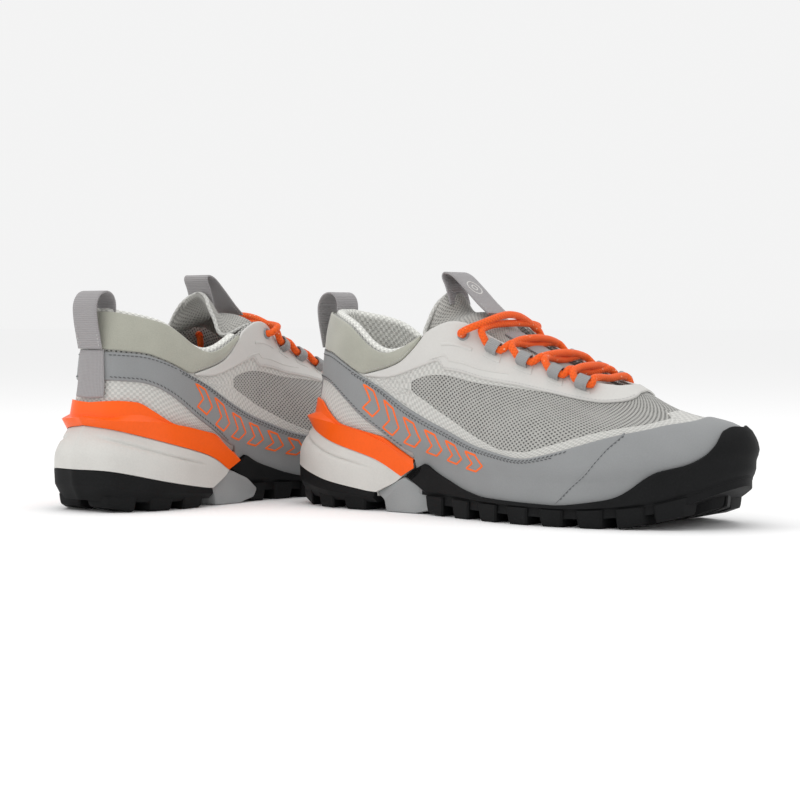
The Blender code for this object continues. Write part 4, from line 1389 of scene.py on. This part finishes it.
@dataclass
class Upper:
    """Mesh vamp, textile border, rand and eyestay, from the inside out."""

    film: float = 0.32
    throat: float = 3.6
    strip_end: float = 2.58
    suede_end: float = 3.55
    backstay_end: float = 0.56

    def skin(self) -> Shape:
        """Mesh layer all round the shoe.

        Returns:
            The closed shape.
        """
        t = spread(0, TURN, 0.08)[:-1]
        low, high = np.zeros_like(t), np.full_like(t, 4.0)
        return panel(t, low, high, -SIZE.skin, SIZE.skin, 34, ring=True)

    def border(self, first: float, last: float, low: Seam, high: Seam, under: float,
               over: float) -> Shape:
        """Thin textile layer between two seams, on one side of the shoe.

        Args:
            first: Station where it starts.
            last: Station where it ends.
            low: Seam along its lower edge.
            high: Seam along its upper edge.
            under: How far it reaches under the piece below, in heights.
            over: How far it reaches under the piece above.

        Returns:
            The closed shape.
        """
        t = spread(first, last, 0.06)
        bottom = low.at(t) - under
        top = np.maximum(high.at(t) + over, bottom + 0.02)
        return panel(t, bottom, top, 0.0, self.film, 8)

    def borders(self, lateral: bool) -> Shape:
        """Textile round the window of one side: below it, above it and behind it.

        Args:
            lateral: Which side.

        Returns:
            The three strips in one mesh.
        """
        strips = []
        for first, last, low, high, under, over in (
                (2.0, 9.98, BAND_TOP, WINDOW_LOW, 0.14, 0.0),
                (2.45, 6.35, WINDOW_TOP, EYESTAY_LOW, 0.0, 0.1),
                (2.0, 3.46, BAND_TOP, EYESTAY_LOW, 0.12, 0.1)):
            ends = (first, last) if lateral else (TURN - last, TURN - first)
            strips.append(self.border(*ends, low, high, under, over))
        return merged(strips)

    def quarter(self) -> Shape:
        """Textile round the heel, between the sole and the band."""
        return self.border(-3.5, 3.5, SOLE_LINE, BAND_LOW, 0.0, 0.1)

    def rand(self) -> Shape:
        """Grey wrap: a band round the heel that widens into the rand of the forefoot.

        Returns:
            The closed shape.
        """
        t = spread(0, TURN, 0.07)[:-1]
        side = fold(t)
        low = np.where(side < 3.5, BAND_LOW.at(t),
                       np.interp(side, (3.5, 3.62), (float(BAND_LOW.at(np.array(3.5))), -1.0)))
        return panel(t, low, BAND_TOP.at(t) - 0.03, SIZE.gap, SIZE.overlay, 18, ring=True)

    def eyestay(self) -> Shape:
        """Smooth overlay round the throat, with a strip back to the heel band.

        Returns:
            The closed shape.
        """
        t = spread(self.strip_end, TURN - self.strip_end, 0.07)
        limit = np.interp(fold(t), (self.throat - 0.02, self.throat + 0.04), (0, 1))
        high = (COLLAR_LOW.at(t) - 0.04) * (1 - limit) + 4.0 * limit
        low = np.minimum(EYESTAY_LOW.at(t), high - 0.08)
        return panel(t, low, high, SIZE.gap, SIZE.overlay, 10, ring=False)

    def collar_panel(self) -> Shape:
        """Suede panel under the collar.

        Returns:
            The closed shape.
        """
        t = spread(-self.suede_end, self.suede_end, 0.07)
        return panel(t, np.minimum(COLLAR_LOW.at(t), 3.9), np.full_like(t, 4.0), SIZE.gap,
                     SIZE.overlay, 12, swell=0.5)

    def backstay(self) -> Shape:
        """Webbing down the back of the heel, over the band.

        Returns:
            The closed shape.
        """
        t = spread(-self.backstay_end, self.backstay_end, 0.08)
        base = 2 * SIZE.gap + SIZE.overlay
        return panel(t, CLIP_TOP.at(t) + 0.1, BAND_TOP.at(t) + 0.02, base, SIZE.webbing, 12)

    def build(self, pair: Pair) -> None:
        """Place the upper's layers in their finishes.

        Args:
            pair: Where the pieces go.
        """
        pair.add(self.skin(), "vamp_mesh", "mesh_grey", node="upper")
        for label, lateral in (("lateral", True), ("medial", False)):
            pair.add(self.borders(lateral), f"border_{label}", "border_white", slot="knit_white")
        pair.add(self.quarter(), "heel_quarter", "border_white", slot="knit_white")
        pair.add(self.rand(), "rand_wrap", "microfibre_grey", node="rand")
        pair.add(self.eyestay(), "eyestay_film", "overlay_white", node="eyestay")
        pair.add(self.collar_panel(), "collar_suede", "suede_beige", node="collar_panel")
        pair.add(self.backstay(), "backstay_tape", "webbing_grey", node="backstay")


@dataclass
class Sewing:
    """Stitch rows, piping and printed outlines on the upper."""

    off: float = SIZE.over + 0.12
    edge: float = 0.12
    second: float = 0.19
    slant: float = 0.35
    seam: Curve = ((6.6, -0.7), (7.05, 0.6), (7.3, 1.45), (7.5, 1.88))
    pipe: Curve = ((6.55, -0.8), (7.05, 0.6), (7.3, 1.45), (7.5, 1.9))
    bent: Curve = ((3.75, 3.02), (4.02, 3.10), (4.10, 2.98), (4.7, 3.06), (5.3, 3.24))
    arrow: Sequence = ((0, 0), (8.5, 0), (14.5, 0.5), (8.5, 1), (0, 1), (6, 0.5))
    arrows: int = 6
    arrow_pitch: float = 18.0

    def both(self, first: float, last: float, height: Callable[[Array], Array], off: float,
             **thread: float) -> Shape:
        """Stitch a line on the lateral side, and at the matching stations of the medial one.

        Args:
            first: Station where it starts.
            last: Station where it ends.
            height: Gives the line's height at every station.
            off: Distance of the thread from the skin.
            thread: Measures of the stitches.

        Returns:
            Both rows.
        """
        rows = []
        for lateral in (True, False):
            t = spread(on_side(first, lateral), on_side(last, lateral), 0.02)
            rows.append(stitches(*on_skin(t, height(t), off), **thread))
        return merged(rows)

    def dark(self) -> Shape:
        """Dark lockstitch along the rand's upper edge, across it and along the band.

        Returns:
            All the rows in one mesh.
        """
        off, slant = self.off, self.slant
        return merged((
            self.both(2.2, 6.7, lambda t: BAND_TOP.at(t) - self.edge, off, slant=slant),
            self.both(2.25, 6.5, lambda t: BAND_TOP.at(t) - self.second, off, slant=-slant),
            self.both(6.62, 7.48, lambda t: np.interp(t, *zip(*self.seam)), off, length=1.4,
                      radius=0.26),
            self.both(0.7, 3.3, lambda t: BAND_LOW.at(t) + 0.10, off, slant=slant),
            self.both(0.7, 2.2, lambda t: BAND_TOP.at(t) - self.edge, off),
        ))

    def light(self) -> Shape:
        """Fine light rows along the eyestay's lower edge and the suede's lower edge.

        Returns:
            All the rows in one mesh.
        """
        thread = {"pitch": 2.2, "length": 1.5, "radius": 0.16}
        return merged((
            self.both(3.8, 8.6, lambda t: EYESTAY_LOW.at(t) + 0.06, self.off, **thread),
            self.both(2.6, 3.45, lambda t: COLLAR_LOW.at(t) + 0.09, self.off + 0.1, **thread),
        ))

    def piping(self) -> Shape:
        """Raised line beside the seam across the rand, on both sides.

        Returns:
            Both lines in one mesh.
        """
        t = np.linspace(6.55, 7.5, 60)
        height = np.interp(t, *zip(*self.pipe)) + 0.06
        return merged(ribbon(*on_skin(on_side(t, lateral), height, SIZE.over), width=0.9,
                             height=0.35, closed=False)
                      for lateral in (True, False))

    def emboss(self) -> Shape:
        """Raised film lines on the eyestay: a bent border line and a bar under the eyelet.

        Returns:
            All the lines in one mesh.
        """
        fine = np.linspace(0, 4, 50)
        t, s = (np.interp(fine, range(5), column) for column in zip(*self.bent))
        bar = np.linspace(3.92, 4.5, 24)
        lines = []
        for lateral in (True, False):
            bent = on_skin(on_side(t, lateral), s, SIZE.over)
            lines.append(ribbon(*bent, width=0.8, height=0.28, closed=False))
            straight = on_skin(on_side(bar, lateral), 3.40 + 0.04 * (bar - 4), SIZE.over)
            lines.append(ribbon(*straight, width=2.0, height=0.4, closed=False))
        return merged(lines)

    def chevrons(self) -> Shape:
        """Plain outlined arrowheads in a row down the rand, both sides.

        Returns:
            All the outlines in one mesh.
        """
        t_line = np.linspace(2.35, 5.6, 400)
        lines = []
        for lateral in (True, False):
            stations = on_side(t_line, lateral)
            edge = FORM.point(stations, BAND_TOP.at(stations))
            length = run_of(edge)
            for number in range(self.arrows):
                start, depth = 8 + self.arrow_pitch * number, 6.8
                tall = 15.0 + 0.3 * number
                corners = np.array([(start + x, depth + y * tall) for x, y in self.arrow])
                dense = np.concatenate([np.linspace(corners[k], corners[(k + 1) % 6], 10)[:-1]
                                        for k in range(6)])
                where = on_side(np.interp(dense[:, 0], length, t_line), lateral)
                down = dense[:, 1] / 23.0
                points, ups = on_skin(where, BAND_TOP.at(where) - down, SIZE.over)
                lines.append(ribbon(points, ups, width=1.25, height=0.16, closed=True))
        return merged(lines)

    def build(self, pair: Pair) -> None:
        """Place the sewing and the printed lines in their finishes.

        Args:
            pair: Where the pieces go.
        """
        pair.add(self.dark(), "stitches_dark", "thread_dark", slot="microfibre_grey")
        pair.add(self.light(), "stitches_light", "thread_light", slot="overlay_white")
        pair.add(self.piping(), "rand_piping", "microfibre_grey")
        pair.add(self.emboss(), "eyestay_lines", "overlay_white")
        pair.add(self.chevrons(), "band_outlines", "print_orange", slot="tpu_orange")


@dataclass
class Collar:
    """Padded knit lining, rolled over the topline."""

    roll: float = 2.6
    end: float = 3.55
    quilt: float = 0.9

    def lining(self) -> Shape:
        """Lining pad: outer face, rounded roll and inner face.

        Returns:
            The closed shape.
        """
        t = spread(-self.end, self.end, 0.06)
        outside = -SIZE.skin - SIZE.gap
        low = (BAND_LOW.at(t) + BAND_TOP.at(t)) / 2 + 0.04
        fade = np.interp(fold(t), (3.1, self.end), (1, 0.35))
        rows = []
        for f in np.linspace(0, 1, 10):
            rows.append(FORM.layer(t, low + (4 - low) * f, outside))
        centre = outside - SIZE.lining / 2
        for a in np.linspace(0.12, math.pi - 0.12, 9):
            lift = self.roll * fade * math.sin(a)
            side = centre + SIZE.lining / 2 * math.cos(a)
            point = FORM.layer(t, 4, side)
            rows.append(point + lift[:, None] * np.array([0, 0, 1.0]))
        for f in np.linspace(1, 0, 26):
            quilt = self.quilt * math.sin(math.pi * min(1, f * 1.3)) * fade
            ease = SIZE.lining - 1.2 * (1 - f)
            rows.append(FORM.layer(t, low + (4 - low) * f, outside - ease - quilt))
        return loft(np.array(rows).transpose(1, 0, 2))

    def build(self, pair: Pair) -> None:
        """Place the lining.

        Args:
            pair: Where the pieces go.
        """
        # The lining's finish is painted lighter to offset the shade inside the collar.
        for pad in pair.add(self.lining(), "collar_pad", "knit_white", node="collar_lining"):
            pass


# ------------------------------------------------------------------------------ tongue and tabs


@dataclass
class Tongue:
    """Padded tongue with its keeper strap.

    Its free end is (x, lateral y, medial y, z); the bow lifts its middle by (x, z) row by row.
    """

    thick: float = 4.0
    depth: float = 3.6
    tilt: tuple = OFF_TONGUE
    free_end: Sequence = ((103, -15, 8, 124.5), (102, -21, 14, 116), (103, -26, 21, 105))
    bow: Sequence = ((4, 7), (10, 10), (15, 13), (4, 5), (1.3, 3.3), (1.3, 3.3), (1.3, 3.2),
                     (1.2, 3), (0.8, 2), (0.4, 1))
    stations: Sequence = (4.1, 4.8, 5.6, 6.4, 7.2, 8, 8.6)
    keeper_rows: tuple = (4.0, 4.9)
    cells: int = 18

    def edges(self) -> tuple[Array, Array]:
        """Left and right edge of the outer face, from the free top to the base.

        Returns:
            Both edges, shape (rows, 3).
        """
        left = [(x, a, z) for x, a, _, z in self.free_end]
        right = [(x, b, z) for x, _, b, z in self.free_end]
        for t in self.stations:
            s = 4 if t < 5 else 3.9
            a, b = (FORM.layer(at, s, -self.depth) for at in (t, TURN - t))
            tuck = 0.04 if t < 5 else 0.02
            left.append(a + (b - a) * tuck)
            right.append(b + (a - b) * tuck)
        return np.array(left, float), np.array(right, float)

    def face(self, at: Array, lift: float) -> Array:
        """Rows of the outer face.

        Args:
            at: Positions down the tongue, counted in its edge points.
            lift: Distance above the face.

        Returns:
            Points, shape (rows, cells + 1, 3).
        """
        left, right = (catmull(edge, at, False) for edge in self.edges())
        f = np.linspace(0, 1, self.cells + 1)
        rows = left[:, None] * (1 - f)[None, :, None] + right[:, None] * f[None, :, None]
        bow = catmull(np.array([(x, 0, z) for x, z in self.bow], float), at, False)
        arch = np.sin(math.pi * f)[None, :, None] ** 0.8
        return rows + bow[:, None] * arch + np.array(self.tilt) * lift

    def pad(self) -> Shape:
        """Tongue with rounded, stuffed edges.

        Returns:
            The closed shape.
        """
        at = np.linspace(0, len(self.stations) + 2, 90)
        top = self.face(at, 0.0)
        f = np.linspace(-1, 1, self.cells + 1)
        round_off = np.sqrt(np.maximum(0.0, 1 - f ** 6))
        ends = np.interp(at, (0, 0.25, 8.6, 9), (0.35, 1, 1, 0.8))
        down, along = np.gradient(top, axis=(0, 1))
        way = unit(np.cross(down, along))
        way = way * np.sign((way @ np.array(self.tilt)).sum())
        middle = top - way * self.thick / 2
        half = self.thick / 2 * round_off[None, :] * ends[:, None]
        upper = middle + way * half[..., None]
        lower = middle - way * half[..., None]
        return loft(np.concatenate([upper, lower[:, -2:0:-1]], axis=1))

    def keeper(self) -> Shape:
        """Webbing strap sewn across the tongue.

        Returns:
            The closed shape.
        """
        at = np.linspace(*self.keeper_rows, 12)
        span = slice(self.cells // 4, 3 * self.cells // 4 + 1)
        over = self.face(at, SIZE.gap + 0.9)[:, span]
        under = self.face(at, SIZE.gap)[:, span]
        return loft(np.concatenate([over, under[:, ::-1]], axis=1))

    def binding(self) -> Shape:
        """Light tape that finishes the free edge.

        Returns:
            The closed shape.
        """
        top = self.face(np.array([0.06]), 0.1)[0]
        left, right = (self.face(np.linspace(0.1, 3.2, 30), 0.1)[:, k] for k in (0, -1))
        path = np.concatenate([left[::-1], top, right])
        path = path - np.array(self.tilt) * self.thick * 0.45
        return tube(smooth_path(path[::2], 1.0), 1.25, 8)

    def build(self, pair: Pair) -> None:
        """Place the tongue's pieces.

        Args:
            pair: Where the pieces go.
        """
        pads = pair.add(self.pad(), "tongue_pad", "tongue_mesh", slot="mesh_grey",
                        node="tongue", body="tongue")
        pair.add(self.keeper(), "keeper_strap", "webbing_grey", node="tongue_keeper",
                 body="tongue")
        pair.add(self.binding(), "tongue_binding", "border_white", slot="knit_white",
                 body="tongue")


@dataclass
class Tab:
    """Webbing loop bent along a path of (x, z) in the shoe's long upright plane."""

    path: Sequence
    middle: float

    def course(self, first: float, last: float, count: int) -> tuple[Array, Array]:
        """Follow the path between two of its positions.

        Args:
            first: Position where the stretch starts, counted in the path's points.
            last: Position where it ends.
            count: How many spots to take.

        Returns:
            The spots in the plane, and the way off the tape at each.
        """
        spots = catmull(np.array(self.path, float), np.linspace(first, last, count), False)
        ahead = unit(np.gradient(spots, axis=0))
        return spots, np.stack([-ahead[:, 1], ahead[:, 0]], 1)

    def placed(self, flat: Array, across: Union[float, Array]) -> Array:
        """Stand spots of the plane at a distance across the tape."""
        return np.stack([flat[:, 0], np.zeros(len(flat)) + self.middle + across, flat[:, 1]], 1)

    def tape(self) -> Shape:
        """Tape with rounded edges.

        Returns:
            The closed shape.
        """
        spots, side = self.course(0, len(self.path) - 1, 90)
        half, thick = SIZE.webbing_width / 2, SIZE.webbing / 2
        profile = [(y, 1.0) for y in np.linspace(-half + 0.5, half - 0.5, 9)]
        profile += [(half - 0.1, 0.6), (half, 0.0), (half - 0.1, -0.6)]
        profile += [(y, -1.0) for y in np.linspace(half - 0.5, -half + 0.5, 9)]
        profile += [(-half + 0.1, -0.6), (-half, 0.0), (-half + 0.1, 0.6)]
        return loft(np.stack([self.placed(spots + side * thick * share, y)
                              for y, share in profile], 1))

    def sewn(self, first: float, last: float) -> Shape:
        """Stitch rows along both edges, on both faces.

        Args:
            first: Path position where they start.
            last: Path position where they end.

        Returns:
            All the rows in one mesh.
        """
        spots, side = self.course(first, last, 40)
        reach = SIZE.webbing_width / 2 - 1.6
        rows = []
        for sign in (1, -1):
            for y in (-reach, reach):
                line = self.placed(spots + side * sign * (SIZE.webbing / 2 + 0.06), y)
                ups = np.stack([side[:, 0] * sign, np.zeros(len(side)), side[:, 1] * sign], 1)
                rows.append(stitches(line, ups, pitch=2.0, length=1.4, radius=0.2))
        return merged(rows)

    def badge(self, at: float) -> Shape:
        """Plain woven ring round a dot on the tape, instead of any mark.

        Args:
            at: Path position of its middle.

        Returns:
            Both rings in one mesh.
        """
        spots, side = self.course(at - 0.9, at + 0.9, 61)
        length = run_of(spots)
        length -= length[len(spots) // 2]
        angles = np.linspace(0, 2 * math.pi, 40, endpoint=False)
        rings = []
        for radius in (5.2, 2.0):
            run = radius * np.cos(angles)
            place = np.stack([np.interp(run, length, spots[:, k]) for k in range(2)], 1)
            out = unit(np.stack([np.interp(run, length, side[:, k]) for k in range(2)], 1))
            points = self.placed(place - out * (SIZE.webbing / 2 + 0.02), radius * np.sin(angles))
            ups = np.stack([-out[:, 0], np.zeros(len(out)), -out[:, 1]], 1)
            rings.append(ribbon(points, ups, width=0.8, height=0.12, closed=True))
        return merged(rings)


@dataclass
class PullTabs:
    """The heel's pull tab and the tongue's, each on its own body."""

    heel: Tab = field(default_factory=lambda: Tab(
        ((9.8, 96), (8, 104), (6.2, 113), (5.8, 121.5), (8.8, 127.5), (14, 129.6),
         (18.8, 127.8), (21.2, 122.5), (20.8, 114)), 0.0))
    front: Tab = field(default_factory=lambda: Tab(
        ((138, 116.4), (130, 123), (121, 131.4), (112.5, 138.6), (106.5, 140.6),
         (105, 138), (107.3, 133), (109.3, 127.4), (111, 122)), -4.5))

    def build(self, pair: Pair) -> None:
        """Place the tapes, their stitches and the woven ring.

        Args:
            pair: Where the pieces go.
        """
        pair.add(self.heel.tape(), "heel_tab_tape", "webbing_grey", node="heel_loop",
                 body="heel_tab", smooth=40)
        pair.add(self.front.tape(), "tongue_tab_tape", "webbing_grey", node="tongue_loop",
                 body="tongue_tab", smooth=40)
        pair.add(self.heel.sewn(0.15, 1.2), "heel_tab_stitches", "thread_light",
                 slot="webbing_grey", body="heel_tab")
        pair.add(self.front.sewn(0.1, 0.9), "tongue_tab_stitches", "thread_light",
                 slot="webbing_grey", body="tongue_tab")
        pair.add(self.front.badge(2.0), "tongue_tab_ring", "overlay_white", body="tongue_tab")


# ------------------------------------------------------------------------------ lace


@dataclass
class Lacing:
    """Lace, its loops, eyelets and tips.

    The tail's route is (station, height, depth under the skin). Each crossing of the tongue is
    lifted off it by a number: `over` on the way down, `toe_bar` in front, `under` on the way up.
    """

    eyelet: tuple = (4.28, 3.7)
    loop_stations: Sequence = (4.9, 5.52, 6.2, 6.9)
    loop_height: float = 3.74
    loop_length: float = 7.0
    loop_inner: float = 3.6
    loop_outer: float = 4.4
    loop_lift: float = 1.4
    tail: Sequence = ((4.3, 3.35, 6.5), (4.2, 2.8, 6.5), (4.2, 2.2, 7), (4.5, 1.7, 8), (5, 1.4, 9),
                      (5.6, 1.35, 9), (6.2, 1.35, 9), (6.8, 1.35, 9), (7.3, 1.35, 9.5))
    edge: tuple = (4.5, 6.2)
    over: Sequence = (8.0, 3.4, 2.5, 2.3)
    under: Sequence = (2.8, -1.1, -1.8, -2.0)
    toe_bar: float = -0.6
    rise: float = 3.8
    reach: float = 0.30
    aglet: float = 18.0

    def frame_of_loop(self, t: float, lateral: bool) -> tuple[Array, Array, Array]:
        """Place a loop.

        Args:
            t: Lateral station of the loop.
            lateral: Which side.

        Returns:
            Its middle, the way through it towards the toe, and the way up.
        """
        def at(station: float) -> float:
            """Station on the loop's own side."""
            return on_side(station, lateral)
        along = unit(FORM.point(at(t + 0.05), 4) - FORM.point(at(t - 0.05), 4))
        lift = 3 * SIZE.gap + SIZE.overlay + self.loop_lift
        return FORM.layer(at(t), self.loop_height, lift), along, FORM.normal(at(t), 3.8)

    def eye(self, lateral: bool) -> tuple[Array, Array]:
        """Middle of an eyelet on the skin, and its outward way."""
        t, s = on_side(self.eyelet[0], lateral), self.eyelet[1]
        return FORM.point(t, s), FORM.normal(t, s)

    def inner_tail(self, lateral: bool) -> list[Array]:
        """Lead a tail inside the shoe, from the eyelet down.

        Args:
            lateral: Which side.

        Returns:
            Points of the route.
        """
        middle, normal = self.eye(lateral)
        return [middle - 4 * normal] + [FORM.layer(on_side(t, lateral), s, -deep)
                                        for t, s, deep in self.tail]

    def outer_route(self) -> list[Array]:
        """Lead the laced part from the lateral eyelet to the medial one.

        Returns:
            Points of the route.
        """
        tilt = np.array(OFF_TONGUE)

        def start(lateral: bool) -> list[Array]:
            """Lead the lace up out of an eyelet.

            Args:
                lateral: Which side.

            Returns:
                Points of the route.
            """
            middle, normal = self.eye(lateral)
            at = on_side(self.edge[0], lateral)
            return [middle + normal * rise for rise in (-4, 0.5, 5.4)] + [
                FORM.layer(at, 4, self.edge[1])]

        def through(number: int, lateral: bool, backwards: bool) -> list[Array]:
            """Lead the lace over the throat's edge and through a loop.

            Args:
                number: Which loop.
                lateral: Which side.
                backwards: Whether it runs towards the heel.

            Returns:
                Points of the route.
            """
            station = self.loop_stations[number]
            middle, along, up = self.frame_of_loop(station, lateral)
            inside = [middle + up * 0.5 + along * self.loop_length * f
                      for f in (-0.7, -0.3, 0.3, 0.7)]
            edge = [FORM.layer(on_side(t, lateral), 4, self.rise)
                    for t in (station - self.reach, station + self.reach)]
            ends = [edge[0]] + inside + [edge[1]]
            return ends[::-1] if backwards else ends

        points = start(True)
        for lift, number, lateral in zip(self.over, range(4), (False, True, False, True)):
            ends = through(number, lateral, False)
            points += [(points[-1] + ends[0]) / 2 + tilt * lift] + ends
        lifts = (self.toe_bar,) + tuple(self.under[:0:-1])
        for lift, number, lateral in zip(lifts, (3, 2, 1, 0), (False, True, False, True)):
            ends = through(number, lateral, True)
            points += [(points[-1] + ends[0]) / 2 + tilt * lift] + ends
        last = start(False)[::-1]
        return points + [(points[-1] + last[0]) / 2 + tilt * self.under[0]] + last

    def ring(self, middle: Array, along: Array, up: Array) -> Shape:
        """Ribbed webbing loop round the lace.

        Args:
            middle: Middle of the loop.
            along: Way of the lace through it.
            up: Way off the shoe.

        Returns:
            The closed shape.
        """
        across = unit(np.cross(along, up))
        up = np.cross(across, along)
        angles = np.linspace(0, 2 * math.pi, 28, endpoint=False)
        half = self.loop_length / 2
        sections = []
        profile = [(-half, self.loop_inner), (-half, self.loop_outer - 0.15)]
        for k in range(11):
            x = -half + 0.35 + k * (self.loop_length - 0.7) / 10
            profile.append((x, self.loop_outer + (0.12 if k % 2 else -0.12)))
        profile += [(half, self.loop_outer - 0.15), (half, self.loop_inner)]
        for a in angles:
            square = 1 / max(abs(math.cos(a)), abs(math.sin(a))) ** 0.35
            way = math.cos(a) * up + math.sin(a) * across
            sections.append([middle + along * x + way * r * square * 0.94 for x, r in profile])
        return loft(np.array(sections), ring=True)

    def loops(self, lateral: bool) -> Shape:
        """The four loops of one side, sunk into the eyestay."""
        return merged(self.ring(*self.frame_of_loop(station, lateral))
                      for station in self.loop_stations)

    def feet(self, lateral: bool) -> Shape:
        """Film patches that hold the loops' ends.

        Args:
            lateral: Which side.

        Returns:
            The four patches in one mesh.
        """
        def foot(station: float) -> Shape:
            """Patch under one loop."""
            t = on_side(spread(station - 0.17, station + 0.17, 0.04), lateral)
            return panel(t, np.full_like(t, 3.42), np.full_like(t, 3.8), SIZE.over, 0.45, 5)
        return merged(foot(station) for station in self.loop_stations)

    def tip(self, tail: Array) -> Shape:
        """Plastic tip beyond the end of a tail.

        Args:
            tail: The tail's route.

        Returns:
            The closed shape.
        """
        way = unit(tail[-1] - tail[-2])
        ends = np.array([tail[-1] + way * (SIZE.gap + f)
                         for f in (0, 0.3, self.aglet - 0.4, self.aglet)])
        return tube(ends, np.array([1.5, 1.9, 1.9, 1.4]), 14)

    def grommet(self, lateral: bool) -> Shape:
        """Round eyelet: a flattened ring.

        Args:
            lateral: Which side.

        Returns:
            The closed shape.
        """
        middle, normal = self.eye(lateral)
        across = unit(np.cross(normal, (1.0, 0, 0)))
        other = np.cross(normal, across)
        sections = []
        for a in np.linspace(0, 2 * math.pi, 40, endpoint=False):
            way = math.cos(a) * across + math.sin(a) * other
            ring = [middle + way * (2.9 + 0.8 * math.cos(b))
                    + normal * (SIZE.over + 0.3 + 0.6 * math.sin(b))
                    for b in np.linspace(0, 2 * math.pi, 12, endpoint=False)]
            sections.append(ring)
        return loft(np.array(sections), ring=True)

    def build(self, pair: Pair) -> None:
        """Args:
            pair: Where the pieces go.
        """
        laced = smooth_path(self.outer_route(), 1.6)
        pair.add(tube(laced, SIZE.lace / 2, 16), "lace_laced", "cord_orange", node="lace")
        for label, lateral in (("lateral", True), ("medial", False)):
            tail = smooth_path(self.inner_tail(lateral), 2.0)
            tips = pair.add(self.tip(tail), f"tip_{label}", "plastic_clear",
                            node=f"aglet_{label}")
            tails = pair.add(tube(tail, SIZE.lace / 2, 14), f"lace_tail_{label}", "cord_orange")
            length = float(run_of(tail)[-1]) * MM
            for side, cord, tip in zip(Side, tails, tips):
                route = side.to_world(tail)
            pair.add(self.loops(lateral), f"loops_{label}", "loop_grey", slot="webbing_grey",
                     node=f"lace_loops_{label}")
            pair.add(self.feet(lateral), f"loop_feet_{label}", "overlay_white")
            pair.add(self.grommet(lateral), f"grommet_{label}", "eyelet_grey",
                     node=f"eyelet_{label}")


# ------------------------------------------------------------------------------ studio


@dataclass
class Studio:
    """Camera, soft lights and the pale floor; a lamp is (name, place, size, power)."""

    eye: tuple = (0.7236, -0.9677, 0.1108)
    pitch: float = 2.171
    yaw: float = 37.817
    lens: float = 90.9
    floor_size: float = 60.0
    floor_tone: float = 0.985
    world: float = 0.9
    lamps: Sequence = (("top", (0.1, -0.1, 1.6), 1.6, 6.5), ("key", (-0.9, -1.3, 1.2), 1.0, 5.0))

    def camera(self) -> None:
        """Stand the camera at a low three-quarter view of both shoes."""
        data = bpy.data.cameras.new("camera")
        data.lens = self.lens
        data.sensor_width = 36.0
        obj = bpy.data.objects.new("camera", data)
        obj.location = self.eye
        obj.rotation_euler = (math.radians(90 - self.pitch), 0, math.radians(self.yaw))
        bpy.context.collection.objects.link(obj)
        bpy.context.scene.camera = obj

    def floor(self) -> None:
        """Lay a wide pale floor."""
        bpy.ops.object.select_all(action="DESELECT")
        bpy.ops.mesh.primitive_plane_add(size=self.floor_size, location=(0, 0, -0.0002))
        obj = bpy.context.object
        obj.name = "floor"
        recipe = Recipe("floor_pale", (self.floor_tone,) * 3, 0.8)
        obj.data.materials.append(recipe.finish(Specular_IOR_Level=0.0))

    def lights(self) -> None:
        """Hang a large soft light overhead and a weaker one beside the camera."""
        bpy.context.scene.view_settings.view_transform = "Standard"
        world = bpy.data.worlds.new("studio")
        bpy.context.scene.world = world
        world.use_nodes = True
        back = world.node_tree.nodes["Background"]
        back.inputs["Color"].default_value = (1.0, 1.0, 1.0, 1)
        back.inputs["Strength"].default_value = self.world
        for name, place, size, power in self.lamps:
            data = bpy.data.lights.new(name, "AREA")
            data.size = size
            data.energy = power
            obj = bpy.data.objects.new(name, data)
            obj.location = place
            way = Vector((0, 0, 0.05)) - Vector(place)
            obj.rotation_euler = way.to_track_quat("-Z", "Y").to_euler()
            bpy.context.collection.objects.link(obj)


def main() -> None:
    """Build the pair in order and report each piece."""
    logging.basicConfig(level=logging.INFO, format="%(name)s: %(message)s")
    studio = Studio()
    studio.camera()
    pair = Pair(Finishes())
    for unit_of_shoe in (Lacing(), HeelUnit(), ForefootUnit(), Upper(), Collar(), Sewing(),
                         Tongue(), PullTabs()):
        unit_of_shoe.build(pair)
    studio.floor()
    studio.lights()
    LOG.info("%d kinds of piece placed", len(pair.placed))


if __name__ == "__main__":
    main()
